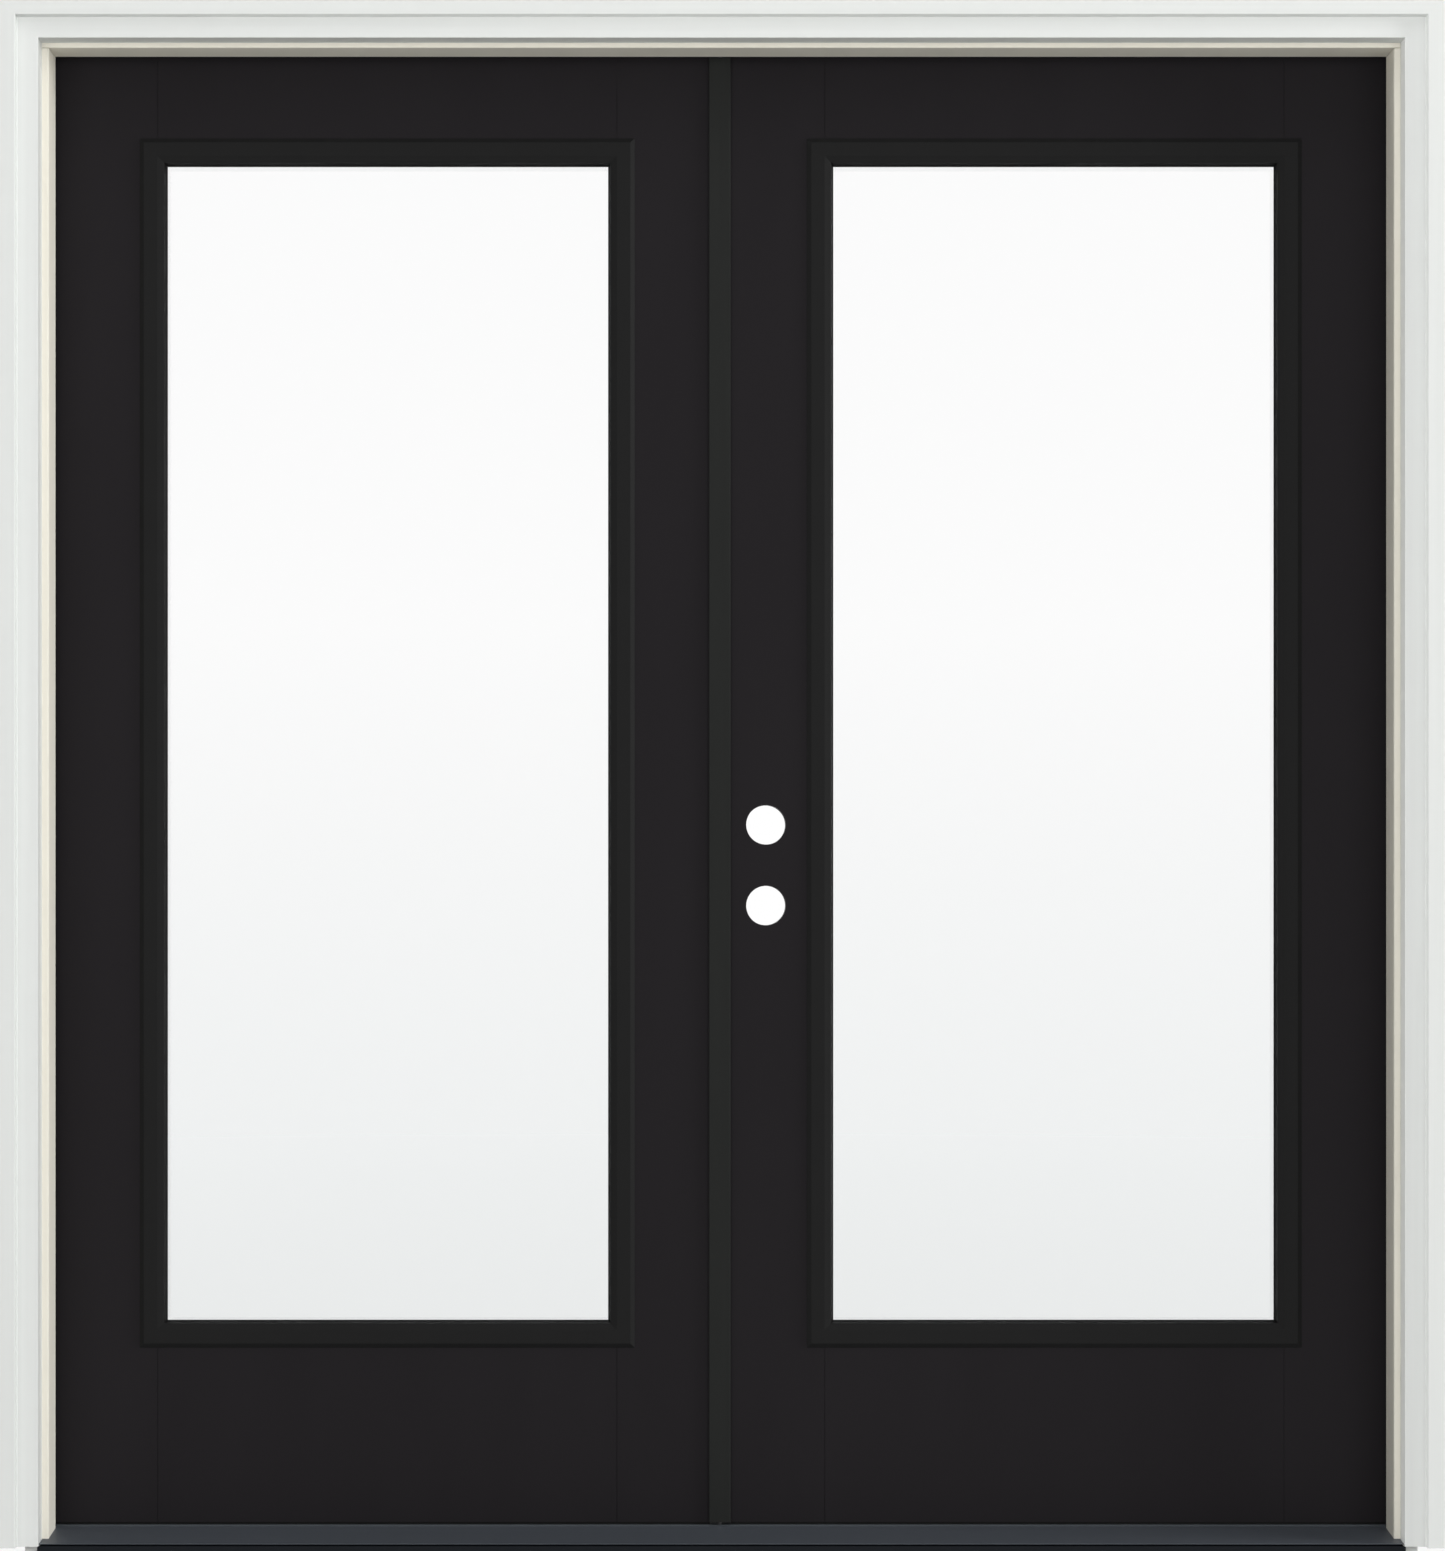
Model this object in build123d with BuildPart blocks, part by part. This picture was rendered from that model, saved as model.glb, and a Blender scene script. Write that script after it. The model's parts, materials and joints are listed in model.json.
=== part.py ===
"""A pair of glazed entrance doors that open inwards, in their frame, piece by piece.

X runs to the right as seen from outside, the outside faces -Y and Z is up. The origin is on the
underside of the sill, midway between the jambs and halfway through their depth. Lengths are in
millimetres. The right leaf is the active one and the left leaf carries the astragal.
"""

import os
from dataclasses import dataclass
from math import radians, tan

from build123d import *

overrun = 5.0  # how far a cut runs past the faces it opens

# Jambs
stop_width = 1807.0  # clear width between the stops of the side jambs
stop_height = 2022.5  # from the underside of the sill to the stop of the head
jamb_depth = 115.9
jamb_thickness = 31.75
rabbet_step = 12.7  # height of the stop above the rabbet
rabbet_depth = 57.15
jamb_easing = 1.2  # chamfer on the front corner
kerf_width = 3.0  # slot that a seal's barb is pushed into
kerf_depth = 9.0
kerf_inset = 4.0  # from the rabbet to the slot
barb_clearance = 0.1
joint_gap = 0.8  # between the front of a side jamb and the head above it

# Exterior casing
casing_reveal = 8.8  # width of side jamb edge left showing
head_reveal = 6.3
casing_width = 51.4
casing_thickness = 34.0  # inner band
casing_band_width = 22.8  # raised outer band
casing_band_rise = 13.0
casing_step_width = 0.8
casing_round = 1.0
casing_lift = 2.8  # how far the legs end below the top of the nose

# Sill
nose_reach = 28.0  # from the front of the jambs to the nose
nose_top = 17.4
nose_clearance = 0.6  # between the nose and the casing
deck_slope = 4.87  # degrees
deck_wall = 2.0
lip_height = 0.5  # of the nose's front edge
lip_root = 1.4  # of the lip over the back of the groove
groove_height = 2.5
groove_depth = 8.0
apron_proud = 1.0
apron_ear = 2.6  # how far the apron runs on under the casing
riser_setback = 3.0  # from the riser's front to the outer face of the leaves
riser_overhang = 4.0  # past the inner face of the jambs
riser_height = 16.0
riser_rise = 1.8  # above the end of the deck
riser_chamfer = 4.0
riser_easing = 1.0  # chamfer on the front edge
riser_clearance = 0.3
riser_screw_shares = (-0.85, -0.3, 0.3, 0.85)  # of half the stop width

# Leaves
leaf_thickness = 44.45
hinge_gap = 3.2
top_gap = 3.2
strip_clearance = 0.4  # between the leaf and the seal it closes on
sweep_clearance = 0.4
sweep_thickness = 3.3
sweep_inset = 4.0
skin = 2.0
hinge_stile_width = 38.0
lock_stile_width = 96.0
top_rail_height = 38.0
bottom_rail_height = 60.0
meeting_offset = 1.3  # the active leaf's lock edge, from the middle of the frame
meeting_gap = 3.2
joint_line_width = 1.4  # moulded line where a stile meets a rail
joint_line_depth = 0.7
joint_line_inset = 24.3  # from the lite frame's outer edge

# Lites
lite_gap = 234.2  # between the two lite frames
stile_margin = 122.4  # from the hinge edge to the lite frame
top_margin = 118.3
bottom_margin = 237.2
lite_face = 35.5  # width of the outer frame's moulding
inner_lite_face = 29.5
lite_proud = 5.0
lite_edge = 0.8  # upright part of the outer edge
lite_chamfer = 6.0
lite_bevel = 9.0
inner_lite_bevel = 3.0
lite_bevel_drop = 3.5
lite_throat = 2.5  # steep part next to the glass
lite_round = 1.2  # moulded rounding of the frame's front edges
cutout_inset = 16.0  # from the frame's outer edge to the hole in the leaf
lite_clearance = 0.5
lite_leg = 6.0  # wall that reaches into the leaf beside the glass
pane_thickness = 3.2
pane_gap = 12.7
spacer_setback = 1.0
spacer_width = 6.5
side_screw_shares = (0.07, 0.24, 0.41, 0.59, 0.76, 0.93)  # of the lite frame's height
end_screw_shares = (0.2, 0.5, 0.8)  # of the lite frame's width
lite_screw_radius = 1.75
lite_screw_head = 3.5
lite_screw_head_height = 2.0
lite_screw_recess = 1.0
lite_screw_length = 46.0

# Lock preparation
bore_diameter = 53.98
backset = 60.3
lower_bore_height = 869.7
bore_spacing = 110.2
latch_bore_diameter = 25.4
strike_depth = 25.0

# Hinges
hinge_height = 101.6
hinge_plate = 3.0
hinge_plate_width = 32.0
hinge_top_margin = 228.0  # from the leaf's top edge to the middle of the top hinge
hinge_bottom_margin = 280.0
knuckle_radius = 7.0
knuckle_count = 5
knuckle_gap = 0.3
pin_standoff = 7.55  # from the leaf's inner face to the pin's axis
pin_radius = 3.95
pin_clearance = 0.05
pin_head_radius = 6.0
pin_head_height = 3.0
hinge_screw_shares = ((0.32, -0.38), (0.68, -0.14), (0.68, 0.14), (0.32, 0.38))
hinge_screw_radius = 2.3
hinge_screw_head = 4.4
hinge_screw_head_height = 1.6
jamb_screw_length = 15.0
leaf_screw_length = 25.0

# Astragal and its flush bolts
astragal_web = 12.7
cap_thickness = 6.0
cap_overlap = 1.6  # onto the passive leaf's face
cap_easing = 1.0
lip_overlap = 12.1  # onto the active leaf's face
lip_clearance = 0.4
lip_top_clearance = 0.2  # below the head's seal
astragal_screw_shares = (0.16, 0.33, 0.62, 0.74, 0.86)  # of the leaf's height
astragal_screw_depth_share = 0.25  # of the leaf's thickness
astragal_screw_radius = 2.3
astragal_screw_head = 4.4
astragal_screw_head_height = 3.0
astragal_screw_length = 45.0
bolt_radius = 4.0
bolt_clearance = 0.05
bolt_length = 220.0
bolt_recess = 1.0
bolt_travel = 15.0
bolt_strike_clearance = 0.5
bolt_strike_spare = 2.0
knob_radius = 3.0
knob_inset = 14.0  # from the bolt's inner end
knob_proud = 0.8
knob_clearance = 0.3

# Seals and frame fastenings
strip_recess = 1.0  # how far the seal lies back from the edge of the stop
strip_round_share = 0.3  # of the seal's thickness
pad_thickness = 2.4
pad_depth = 25.0
pad_height = 50.0
frame_screw_shares = (-0.33, 0.3)  # of the jamb's depth
frame_screw_radius = 2.4
frame_screw_head = 4.6
frame_screw_head_height = 2.2
frame_screw_length = 60.0
riser_screw_bite = 6.0
screw_clearance = 0.05

# Planes and edges of the frame
half_stop = stop_width / 2
half_rabbet = half_stop + rabbet_step
half_frame = half_stop + jamb_thickness
front_y = -jamb_depth / 2
back_y = jamb_depth / 2
stop_y = back_y - rabbet_depth
rabbet_top = stop_height + rabbet_step
frame_top = stop_height + jamb_thickness
casing_inner = half_stop + casing_reveal
casing_inner_top = stop_height + head_reveal
casing_outer = casing_inner + casing_width

# Planes and edges of the leaves
leaf_front = back_y - leaf_thickness
leaf_back = back_y
leaf_middle = (leaf_front + leaf_back) / 2
hinge_edge = half_rabbet - hinge_gap
leaf_top = rabbet_top - top_gap
active_lock = meeting_offset
web_edge = active_lock - meeting_gap
passive_lock = web_edge - astragal_web

# Planes and edges of the sill
nose_front = front_y - nose_reach
riser_front = leaf_front - riser_setback
riser_back = back_y + riser_overhang


def deck_height(y):
    """Height of the sloped deck at a depth."""
    return nose_top + (y - nose_front) * tan(radians(deck_slope))


deck_end = deck_height(riser_front)
riser_top = deck_end + riser_rise
seat_height = riser_top - riser_height
leaf_bottom = riser_top + sweep_clearance + sweep_thickness
leaf_height = leaf_top - leaf_bottom

# Places shared by both lites, measured outwards from the middle of the frame
lite_inner = lite_gap / 2
lite_outer = hinge_edge - stile_margin
lite_bottom = leaf_bottom + bottom_margin
lite_top = leaf_top - top_margin
lite_width = lite_outer - lite_inner
lite_height = lite_top - lite_bottom
leg_inset = cutout_inset + lite_clearance
pane_inset = leg_inset + lite_leg + lite_clearance
glass_depth = (leaf_thickness - pane_thickness * 2 - pane_gap) / 2

# Places shared by the hinges and by the flush bolts
pin_x = half_rabbet - hinge_gap / 2
pin_y = leaf_back + pin_standoff
low_hinge = leaf_bottom + hinge_bottom_margin
high_hinge = leaf_top - hinge_top_margin
hinge_heights = (low_hinge, (low_hinge + high_hinge) / 2, high_hinge)
bolt_x = (web_edge + passive_lock) / 2
bore_x = active_lock + backset
bore_heights = (lower_bore_height, lower_bore_height + bore_spacing)


@dataclass(frozen=True)
class Leaf:
    """One leaf: its name, the side it hangs on and how far its lock edge lies towards that side."""

    name: str
    hand: int
    lock: float


active_leaf = Leaf("active", 1, active_lock)
passive_leaf = Leaf("passive", -1, -passive_lock)


def save(builder, name):
    """Label a finished piece and write it."""
    builder.part.label = name
    export_step(builder.part, f"parts/{name}.step")


def outline(plane, points):
    """A closed straight-sided outline on a plane."""
    with BuildSketch(plane) as shape:
        with BuildLine():
            Polyline(*points, close=True)
        make_face()
    return shape.sketch


def block(x_ends, y_ends, z_ends):
    """A box between pairs of ends along X, Y and Z."""
    with BuildPart() as solid:
        with BuildSketch(Plane.XY.offset(min(z_ends))):
            with Locations((sum(x_ends) / 2, sum(y_ends) / 2)):
                Rectangle(max(x_ends) - min(x_ends), max(y_ends) - min(y_ends))
        extrude(amount=max(z_ends) - min(z_ends))
    return solid.part


def rods(plane, points, steps, way=1, clearance=0):
    """Round stepped rods along a plane's normal, or against it, one at each point."""
    with BuildPart() as group:
        for radius, start, end in steps:
            with BuildSketch(plane.offset(way * start)):
                with Locations(*points):
                    Circle(radius + clearance)
            extrude(amount=way * (end - start))
    return group.part


def spread(hand, near, far):
    """A pair of ends along X on one side of the frame."""
    return (hand * near, hand * far)


def screw_steps(radius, head_radius, head_height, length, recess=0):
    """Steps of a screw whose head lies a little below the face that it enters."""
    under_head = recess + head_height
    return ((head_radius, recess, under_head), (radius, under_head, length))


frame_screw = screw_steps(
    frame_screw_radius, frame_screw_head, frame_screw_head_height, frame_screw_length
)
jamb_hinge_screw = screw_steps(
    hinge_screw_radius, hinge_screw_head, hinge_screw_head_height, jamb_screw_length
)
leaf_hinge_screw = screw_steps(
    hinge_screw_radius, hinge_screw_head, hinge_screw_head_height, leaf_screw_length
)
riser_screw = screw_steps(
    frame_screw_radius, frame_screw_head, frame_screw_head_height, riser_height + riser_screw_bite
)
astragal_screw = screw_steps(
    astragal_screw_radius, astragal_screw_head, astragal_screw_head_height, astragal_screw_length
)
lite_screw = screw_steps(
    lite_screw_radius, lite_screw_head, lite_screw_head_height, lite_screw_length, lite_screw_recess
)
lite_screw_hole = screw_steps(
    lite_screw_radius, lite_screw_head, lite_screw_recess + lite_screw_head_height, lite_screw_length
)


def frame_screw_points(side):
    """Where the screws of one side run down through the head and up through the sill."""
    x = side * (half_rabbet + half_frame) / 2
    return [(x, jamb_depth * share) for share in frame_screw_shares]


def corner_screws(clearance=0):
    """The screws that hold the head and the sill to the side jambs."""
    points = frame_screw_points(-1) + frame_screw_points(1)
    with BuildPart() as group:
        add(rods(Plane.XY.offset(frame_top), points, frame_screw, -1, clearance))
        add(rods(Plane.XY, points, frame_screw, 1, clearance))
    return group.part


def hinge_screws(face_x, steps, way, clearance=0):
    """The screws of three hinge plates on a face, driven along X."""
    points = []
    for height in hinge_heights:
        for width_share, height_share in hinge_screw_shares:
            y = leaf_back - hinge_plate_width * width_share
            points.append((y, height + hinge_height * height_share))
    return rods(Plane.YZ.offset(face_x), points, steps, way, clearance)


def hinge_plates(x_ends):
    """Three flat hinge plates, which are also the shape of their mortises."""
    with BuildPart() as group:
        for height in hinge_heights:
            z_ends = (height - hinge_height / 2, height + hinge_height / 2)
            add(block(x_ends, (leaf_back - hinge_plate_width, leaf_back), z_ends))
    return group.part


def riser_screws(clearance=0):
    """The adjusting screws of the riser."""
    middle = (riser_front + riser_back) / 2
    points = [(half_stop * share, middle) for share in riser_screw_shares]
    return rods(Plane.XY.offset(riser_top), points, riser_screw, -1, clearance)


def make_side_jamb(side, name):
    """A rabbeted side jamb, coped under the head and cut to the slope of the sill."""
    section = [
        (side * (half_stop + jamb_easing), front_y),
        (side * half_frame, front_y),
        (side * half_frame, back_y),
        (side * half_rabbet, back_y),
        (side * half_rabbet, stop_y),
        (side * half_stop, stop_y),
        (side * half_stop, front_y + jamb_easing),
    ]
    below = [
        (front_y - overrun, -overrun),
        (front_y - overrun, deck_height(front_y - overrun)),
        (riser_front, deck_end),
        (riser_front, seat_height),
        (back_y + overrun, seat_height),
        (back_y + overrun, -overrun),
    ]
    kerf_x = half_rabbet - kerf_inset
    with BuildPart() as jamb:
        extrude(outline(Plane.XY, section), amount=rabbet_top)
        add(
            block(
                spread(side, half_stop - overrun, half_frame + overrun),
                (front_y - overrun, stop_y),
                (stop_height - joint_gap, rabbet_top + overrun),
            ),
            mode=Mode.SUBTRACT,
        )
        extrude(
            outline(Plane.YZ.offset(-half_frame - overrun), below),
            amount=(half_frame + overrun) * 2,
            mode=Mode.SUBTRACT,
        )
        add(
            block(
                spread(side, kerf_x - kerf_width, kerf_x),
                (stop_y - kerf_depth, stop_y + overrun),
                (-overrun, rabbet_top + overrun),
            ),
            mode=Mode.SUBTRACT,
        )
        add(hinge_plates(spread(side, half_rabbet - overrun, half_rabbet + hinge_plate)), mode=Mode.SUBTRACT)
        add(
            hinge_screws(side * half_rabbet, jamb_hinge_screw, side, screw_clearance),
            mode=Mode.SUBTRACT,
        )
        add(corner_screws(screw_clearance), mode=Mode.SUBTRACT)
    save(jamb, name)


def make_head_jamb():
    """The head jamb, which runs over both side jambs and takes the upper flush bolt."""
    section = [
        (front_y, stop_height + jamb_easing),
        (front_y + jamb_easing, stop_height),
        (stop_y, stop_height),
        (stop_y, rabbet_top),
        (back_y, rabbet_top),
        (back_y, frame_top),
        (front_y, frame_top),
    ]
    kerf_z = rabbet_top - kerf_inset
    strike = bolt_travel - bolt_recess - top_gap + bolt_strike_spare
    with BuildPart() as head:
        extrude(outline(Plane.YZ.offset(-half_frame), section), amount=half_frame * 2)
        add(
            block(
                (-half_rabbet, half_rabbet),
                (stop_y - kerf_depth, stop_y + overrun),
                (kerf_z - kerf_width, kerf_z),
            ),
            mode=Mode.SUBTRACT,
        )
        add(
            rods(
                Plane.XY.offset(rabbet_top),
                [(bolt_x, leaf_middle)],
                [(bolt_radius, -overrun, strike)],
                clearance=bolt_strike_clearance,
            ),
            mode=Mode.SUBTRACT,
        )
        add(corner_screws(screw_clearance), mode=Mode.SUBTRACT)
    save(head, "head_jamb")


def casing_section():
    """The casing's section: distance from its inner edge and height above the jamb's front."""
    band_start = casing_width - casing_band_width
    band_height = casing_thickness + casing_band_rise
    return [
        (0, 0),
        (0, casing_thickness),
        (band_start - casing_step_width, casing_thickness),
        (band_start, band_height),
        (casing_width, band_height),
        (casing_width, 0),
    ]


def casing_outline(plane, points, depth):
    """A casing section with its corners rounded, except those that lie on the jamb."""
    with BuildSketch(plane) as shape:
        with BuildLine():
            Polyline(*points, close=True)
        make_face()
        corners = shape.vertices().group_by(depth)
        fillet([corner for row in corners[:-1] for corner in row], radius=casing_round)
    return shape.sketch


def mitre_plane(side):
    """The mitre between a casing leg and the casing head, with the leg below it."""
    return Plane(origin=(side * casing_inner, 0, casing_inner_top), z_dir=(-side, 0, 1))


def make_casing_leg(side, name):
    """An upright of the exterior casing, mitred at its top."""
    leg_bottom = nose_top - casing_lift
    section = [(side * (casing_inner + across), front_y - rise) for across, rise in casing_section()]
    with BuildPart() as leg:
        extrude(
            casing_outline(Plane.XY.offset(leg_bottom), section, Axis.Y),
            amount=casing_inner_top + casing_width + overrun - leg_bottom,
        )
        split(bisect_by=mitre_plane(side), keep=Keep.BOTTOM)
    save(leg, name)


def make_casing_head():
    """The head of the exterior casing, mitred at both ends."""
    section = [(front_y - rise, casing_inner_top + across) for across, rise in casing_section()]
    half_length = casing_outer + overrun
    with BuildPart() as head:
        extrude(casing_outline(Plane.YZ.offset(-half_length), section, Axis.X), amount=half_length * 2)
        split(bisect_by=mitre_plane(-1), keep=Keep.TOP)
        split(bisect_by=mitre_plane(1), keep=Keep.TOP)
    save(head, "head_brickmould")


def make_sill():
    """The sill: a base, an aluminium deck with its nose, a grooved apron and an adjustable riser."""
    groove_back = nose_front + groove_depth
    web_back = groove_back + deck_wall
    lip_bottom = nose_top - lip_height
    root_bottom = nose_top - lip_root
    shelf = lip_bottom - groove_height
    apron_front = nose_front - apron_proud
    nose_half = casing_inner - nose_clearance
    base_section = [
        (front_y, 0),
        (front_y, deck_height(front_y) - deck_wall),
        (riser_front, deck_end - deck_wall),
        (riser_front, seat_height),
        (riser_back, seat_height),
        (riser_back, 0),
    ]
    base_nose_section = [
        (web_back, 0),
        (web_back, deck_height(web_back) - deck_wall),
        (front_y, deck_height(front_y) - deck_wall),
        (front_y, 0),
    ]
    with BuildPart() as base:
        extrude(outline(Plane.YZ.offset(-half_frame), base_section), amount=half_frame * 2)
        extrude(outline(Plane.YZ.offset(-nose_half), base_nose_section), amount=nose_half * 2)
        add(riser_screws(screw_clearance), mode=Mode.SUBTRACT)
        add(corner_screws(screw_clearance), mode=Mode.SUBTRACT)
    save(base, "sill_base")

    deck_section = [
        (front_y, deck_height(front_y)),
        (riser_front, deck_end),
        (riser_front, deck_end - deck_wall),
        (front_y, deck_height(front_y) - deck_wall),
    ]
    nose_section = [
        (nose_front, nose_top),
        (front_y, deck_height(front_y)),
        (front_y, deck_height(front_y) - deck_wall),
        (web_back, deck_height(web_back) - deck_wall),
        (groove_back, root_bottom),
        (nose_front, lip_bottom),
    ]
    with BuildPart() as deck:
        extrude(outline(Plane.YZ.offset(-half_frame), deck_section), amount=half_frame * 2)
        extrude(outline(Plane.YZ.offset(-nose_half), nose_section), amount=nose_half * 2)
        add(corner_screws(screw_clearance), mode=Mode.SUBTRACT)
    save(deck, "sill_deck")

    apron_half = nose_half + apron_ear
    apron_section = [
        (apron_front, shelf - deck_wall),
        (apron_front, shelf),
        (groove_back, shelf),
        (groove_back, root_bottom),
        (web_back, deck_height(web_back) - deck_wall),
        (web_back, shelf - deck_wall),
    ]
    with BuildPart() as apron:
        extrude(outline(Plane.YZ.offset(-nose_half), apron_section), amount=nose_half * 2)
        add(block((-apron_half, apron_half), (apron_front, apron_front + deck_wall), (0, shelf)))
    save(apron, "sill_apron")

    riser_section = [
        (riser_front, seat_height),
        (riser_front, riser_top - riser_easing),
        (riser_front + riser_easing, riser_top),
        (riser_back - riser_chamfer, riser_top),
        (riser_back, riser_top - riser_chamfer),
        (riser_back, seat_height),
    ]
    riser_half = half_rabbet - riser_clearance
    strike = bolt_travel - bolt_recess - sweep_thickness - sweep_clearance + bolt_strike_spare
    with BuildPart() as riser:
        extrude(outline(Plane.YZ.offset(-riser_half), riser_section), amount=riser_half * 2)
        add(riser_screws(screw_clearance), mode=Mode.SUBTRACT)
        add(
            rods(
                Plane.XY.offset(riser_top),
                [(bolt_x, leaf_middle)],
                [(bolt_radius, -overrun, strike)],
                way=-1,
                clearance=bolt_strike_clearance,
            ),
            mode=Mode.SUBTRACT,
        )
    save(riser, "sill_riser")

    with BuildPart() as screws:
        add(riser_screws())
    save(screws, "sill_riser_screws")


def make_weatherstrips():
    """The foam seals in the rabbet and the pads that close its lower corners."""
    strip_back = leaf_front - strip_clearance
    roundness = (strip_back - stop_y) * strip_round_share
    barb_width = kerf_width - barb_clearance * 2
    barb_reach = (stop_y - kerf_depth + barb_clearance, stop_y)
    barb_start = kerf_inset + barb_clearance
    for side, name in ((-1, "left_weatherstrip"), (1, "right_weatherstrip")):
        barb_near = half_rabbet - barb_start - barb_width
        with BuildPart() as strip:
            add(
                block(
                    spread(side, half_stop + strip_recess, half_rabbet),
                    (stop_y, strip_back),
                    (riser_top, rabbet_top),
                )
            )
            corner = strip.edges().filter_by(Axis.Z).group_by(Axis.Y)[-1]
            fillet(corner.sort_by(Axis.X)[0 if side > 0 else -1], radius=roundness)
            add(block(spread(side, barb_near, barb_near + barb_width), barb_reach, (riser_top, stop_height)))
        save(strip, name)

    half_length = half_stop + strip_recess
    barb_top = rabbet_top - barb_start
    with BuildPart() as strip:
        add(block((-half_length, half_length), (stop_y, strip_back), (stop_height + strip_recess, rabbet_top)))
        corner = strip.edges().filter_by(Axis.X).group_by(Axis.Y)[-1]
        fillet(corner.sort_by(Axis.Z)[0], radius=roundness)
        add(block((-half_length, half_length), barb_reach, (barb_top - barb_width, barb_top)))
    save(strip, "head_weatherstrip")

    with BuildPart() as pads:
        for side in (-1, 1):
            add(
                block(
                    spread(side, half_rabbet - pad_thickness, half_rabbet),
                    (strip_back, strip_back + pad_depth),
                    (riser_top, riser_top + pad_height),
                )
            )
    save(pads, "corner_pads")


def knuckles(side, first):
    """Every second knuckle of the three hinges on one side, with the tongue to its plate."""
    length = (hinge_height - knuckle_gap * (knuckle_count - 1)) / knuckle_count
    near = hinge_edge - hinge_plate if first else half_rabbet
    with BuildPart() as group:
        for height in hinge_heights:
            for index in range(first, knuckle_count, 2):
                low = height - hinge_height / 2 + index * (length + knuckle_gap)
                ends = (low, low + length)
                add(rods(Plane.XY, [(side * pin_x, pin_y)], [(knuckle_radius, *ends)]))
                add(block(spread(side, near, near + hinge_plate), (leaf_back, pin_y), ends))
    return group.part


def hinge_pins(side, clearance=0):
    """The pins of the three hinges on one side."""
    with BuildPart() as group:
        for height in hinge_heights:
            low = height - hinge_height / 2
            high = height + hinge_height / 2
            steps = ((pin_radius, low, high), (pin_head_radius, high, high + pin_head_height))
            add(rods(Plane.XY, [(side * pin_x, pin_y)], steps, clearance=clearance))
    return group.part


def make_frame_hinges(side, prefix):
    """The fixed halves of one side's hinges, with their screws and pins."""
    with BuildPart() as plates:
        add(hinge_plates(spread(side, half_rabbet, half_rabbet + hinge_plate)))
        add(knuckles(side, 0))
        add(hinge_pins(side, pin_clearance), mode=Mode.SUBTRACT)
        add(
            hinge_screws(side * half_rabbet, jamb_hinge_screw, side, screw_clearance),
            mode=Mode.SUBTRACT,
        )
    save(plates, f"{prefix}_frame_hinge_leaves")

    with BuildPart() as screws:
        add(hinge_screws(side * half_rabbet, jamb_hinge_screw, side))
    save(screws, f"{prefix}_frame_hinge_screws")

    with BuildPart() as pins:
        add(hinge_pins(side))
    save(pins, f"{prefix}_hinge_pins")


def make_leaf_hinges(leaf):
    """The moving halves of one leaf's hinges and their screws."""
    face_x = leaf.hand * hinge_edge
    with BuildPart() as plates:
        add(hinge_plates(spread(leaf.hand, hinge_edge - hinge_plate, hinge_edge)))
        add(knuckles(leaf.hand, 1))
        add(hinge_pins(leaf.hand, pin_clearance), mode=Mode.SUBTRACT)
        add(
            hinge_screws(face_x, leaf_hinge_screw, -leaf.hand, screw_clearance),
            mode=Mode.SUBTRACT,
        )
    save(plates, f"{leaf.name}_hinge_leaves")

    with BuildPart() as screws:
        add(hinge_screws(face_x, leaf_hinge_screw, -leaf.hand))
    save(screws, f"{leaf.name}_hinge_screws")


def lite_panel(leaf, inset, y_from, y_to):
    """A rectangular slab that keeps an inset from the lite frame's outline."""
    x_ends = spread(leaf.hand, lite_inner + inset, lite_outer - inset)
    return block(x_ends, (y_from, y_to), (lite_bottom + inset, lite_top - inset))


def lite_taper(leaf, inset_from, y_from, inset_to, y_to):
    """A rectangular slab that narrows from one inset to another."""
    middle = (leaf.hand * (lite_inner + lite_outer) / 2, (lite_bottom + lite_top) / 2)
    with BuildPart() as solid:
        for inset, y in ((inset_from, y_from), (inset_to, y_to)):
            with BuildSketch(Plane.XZ.offset(-y)):
                with Locations(middle):
                    Rectangle(lite_width - inset * 2, lite_height - inset * 2)
        loft()
    return solid.part


def lite_screws(leaf, steps, clearance=0):
    """The screws that draw the two halves of a lite frame together, driven from inside."""
    inset = leg_inset + lite_leg / 2
    points = []
    for across in (lite_inner + inset, lite_outer - inset):
        for share in side_screw_shares:
            points.append((leaf.hand * across, lite_bottom + lite_height * share))
    for height in (lite_bottom + inset, lite_top - inset):
        for share in end_screw_shares:
            points.append((leaf.hand * (lite_inner + lite_width * share), height))
    return rods(Plane.XZ.offset(-leaf_back - lite_proud), points, steps, 1, clearance)


def make_lite_frame(leaf, face_y, way, face, bevel, name):
    """One half of a lite frame, from the leaf's face to the middle of its thickness."""
    edge_y = face_y - way * lite_edge
    proud_y = face_y - way * lite_proud
    bevel_y = proud_y + way * lite_bevel_drop
    glass_y = face_y + way * glass_depth
    throat = face - lite_throat
    with BuildPart() as frame:
        add(lite_panel(leaf, 0, face_y, edge_y))
        add(lite_taper(leaf, 0, edge_y, lite_chamfer, proud_y))
        add(lite_panel(leaf, leg_inset, face_y, leaf_middle))
        add(
            lite_panel(leaf, leg_inset + lite_leg, glass_y, leaf_middle + way * overrun),
            mode=Mode.SUBTRACT,
        )
        add(
            lite_panel(leaf, face, proud_y - way * overrun, leaf_middle + way * overrun),
            mode=Mode.SUBTRACT,
        )
        add(lite_taper(leaf, throat - bevel, proud_y, throat, bevel_y), mode=Mode.SUBTRACT)
        add(lite_taper(leaf, throat, bevel_y, face, glass_y), mode=Mode.SUBTRACT)
        fillet(frame.edges().filter_by_position(Axis.Y, proud_y, proud_y), radius=lite_round)
        add(lite_screws(leaf, lite_screw_hole, screw_clearance), mode=Mode.SUBTRACT)
    save(frame, f"{leaf.name}_{name}_lite_frame")


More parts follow.
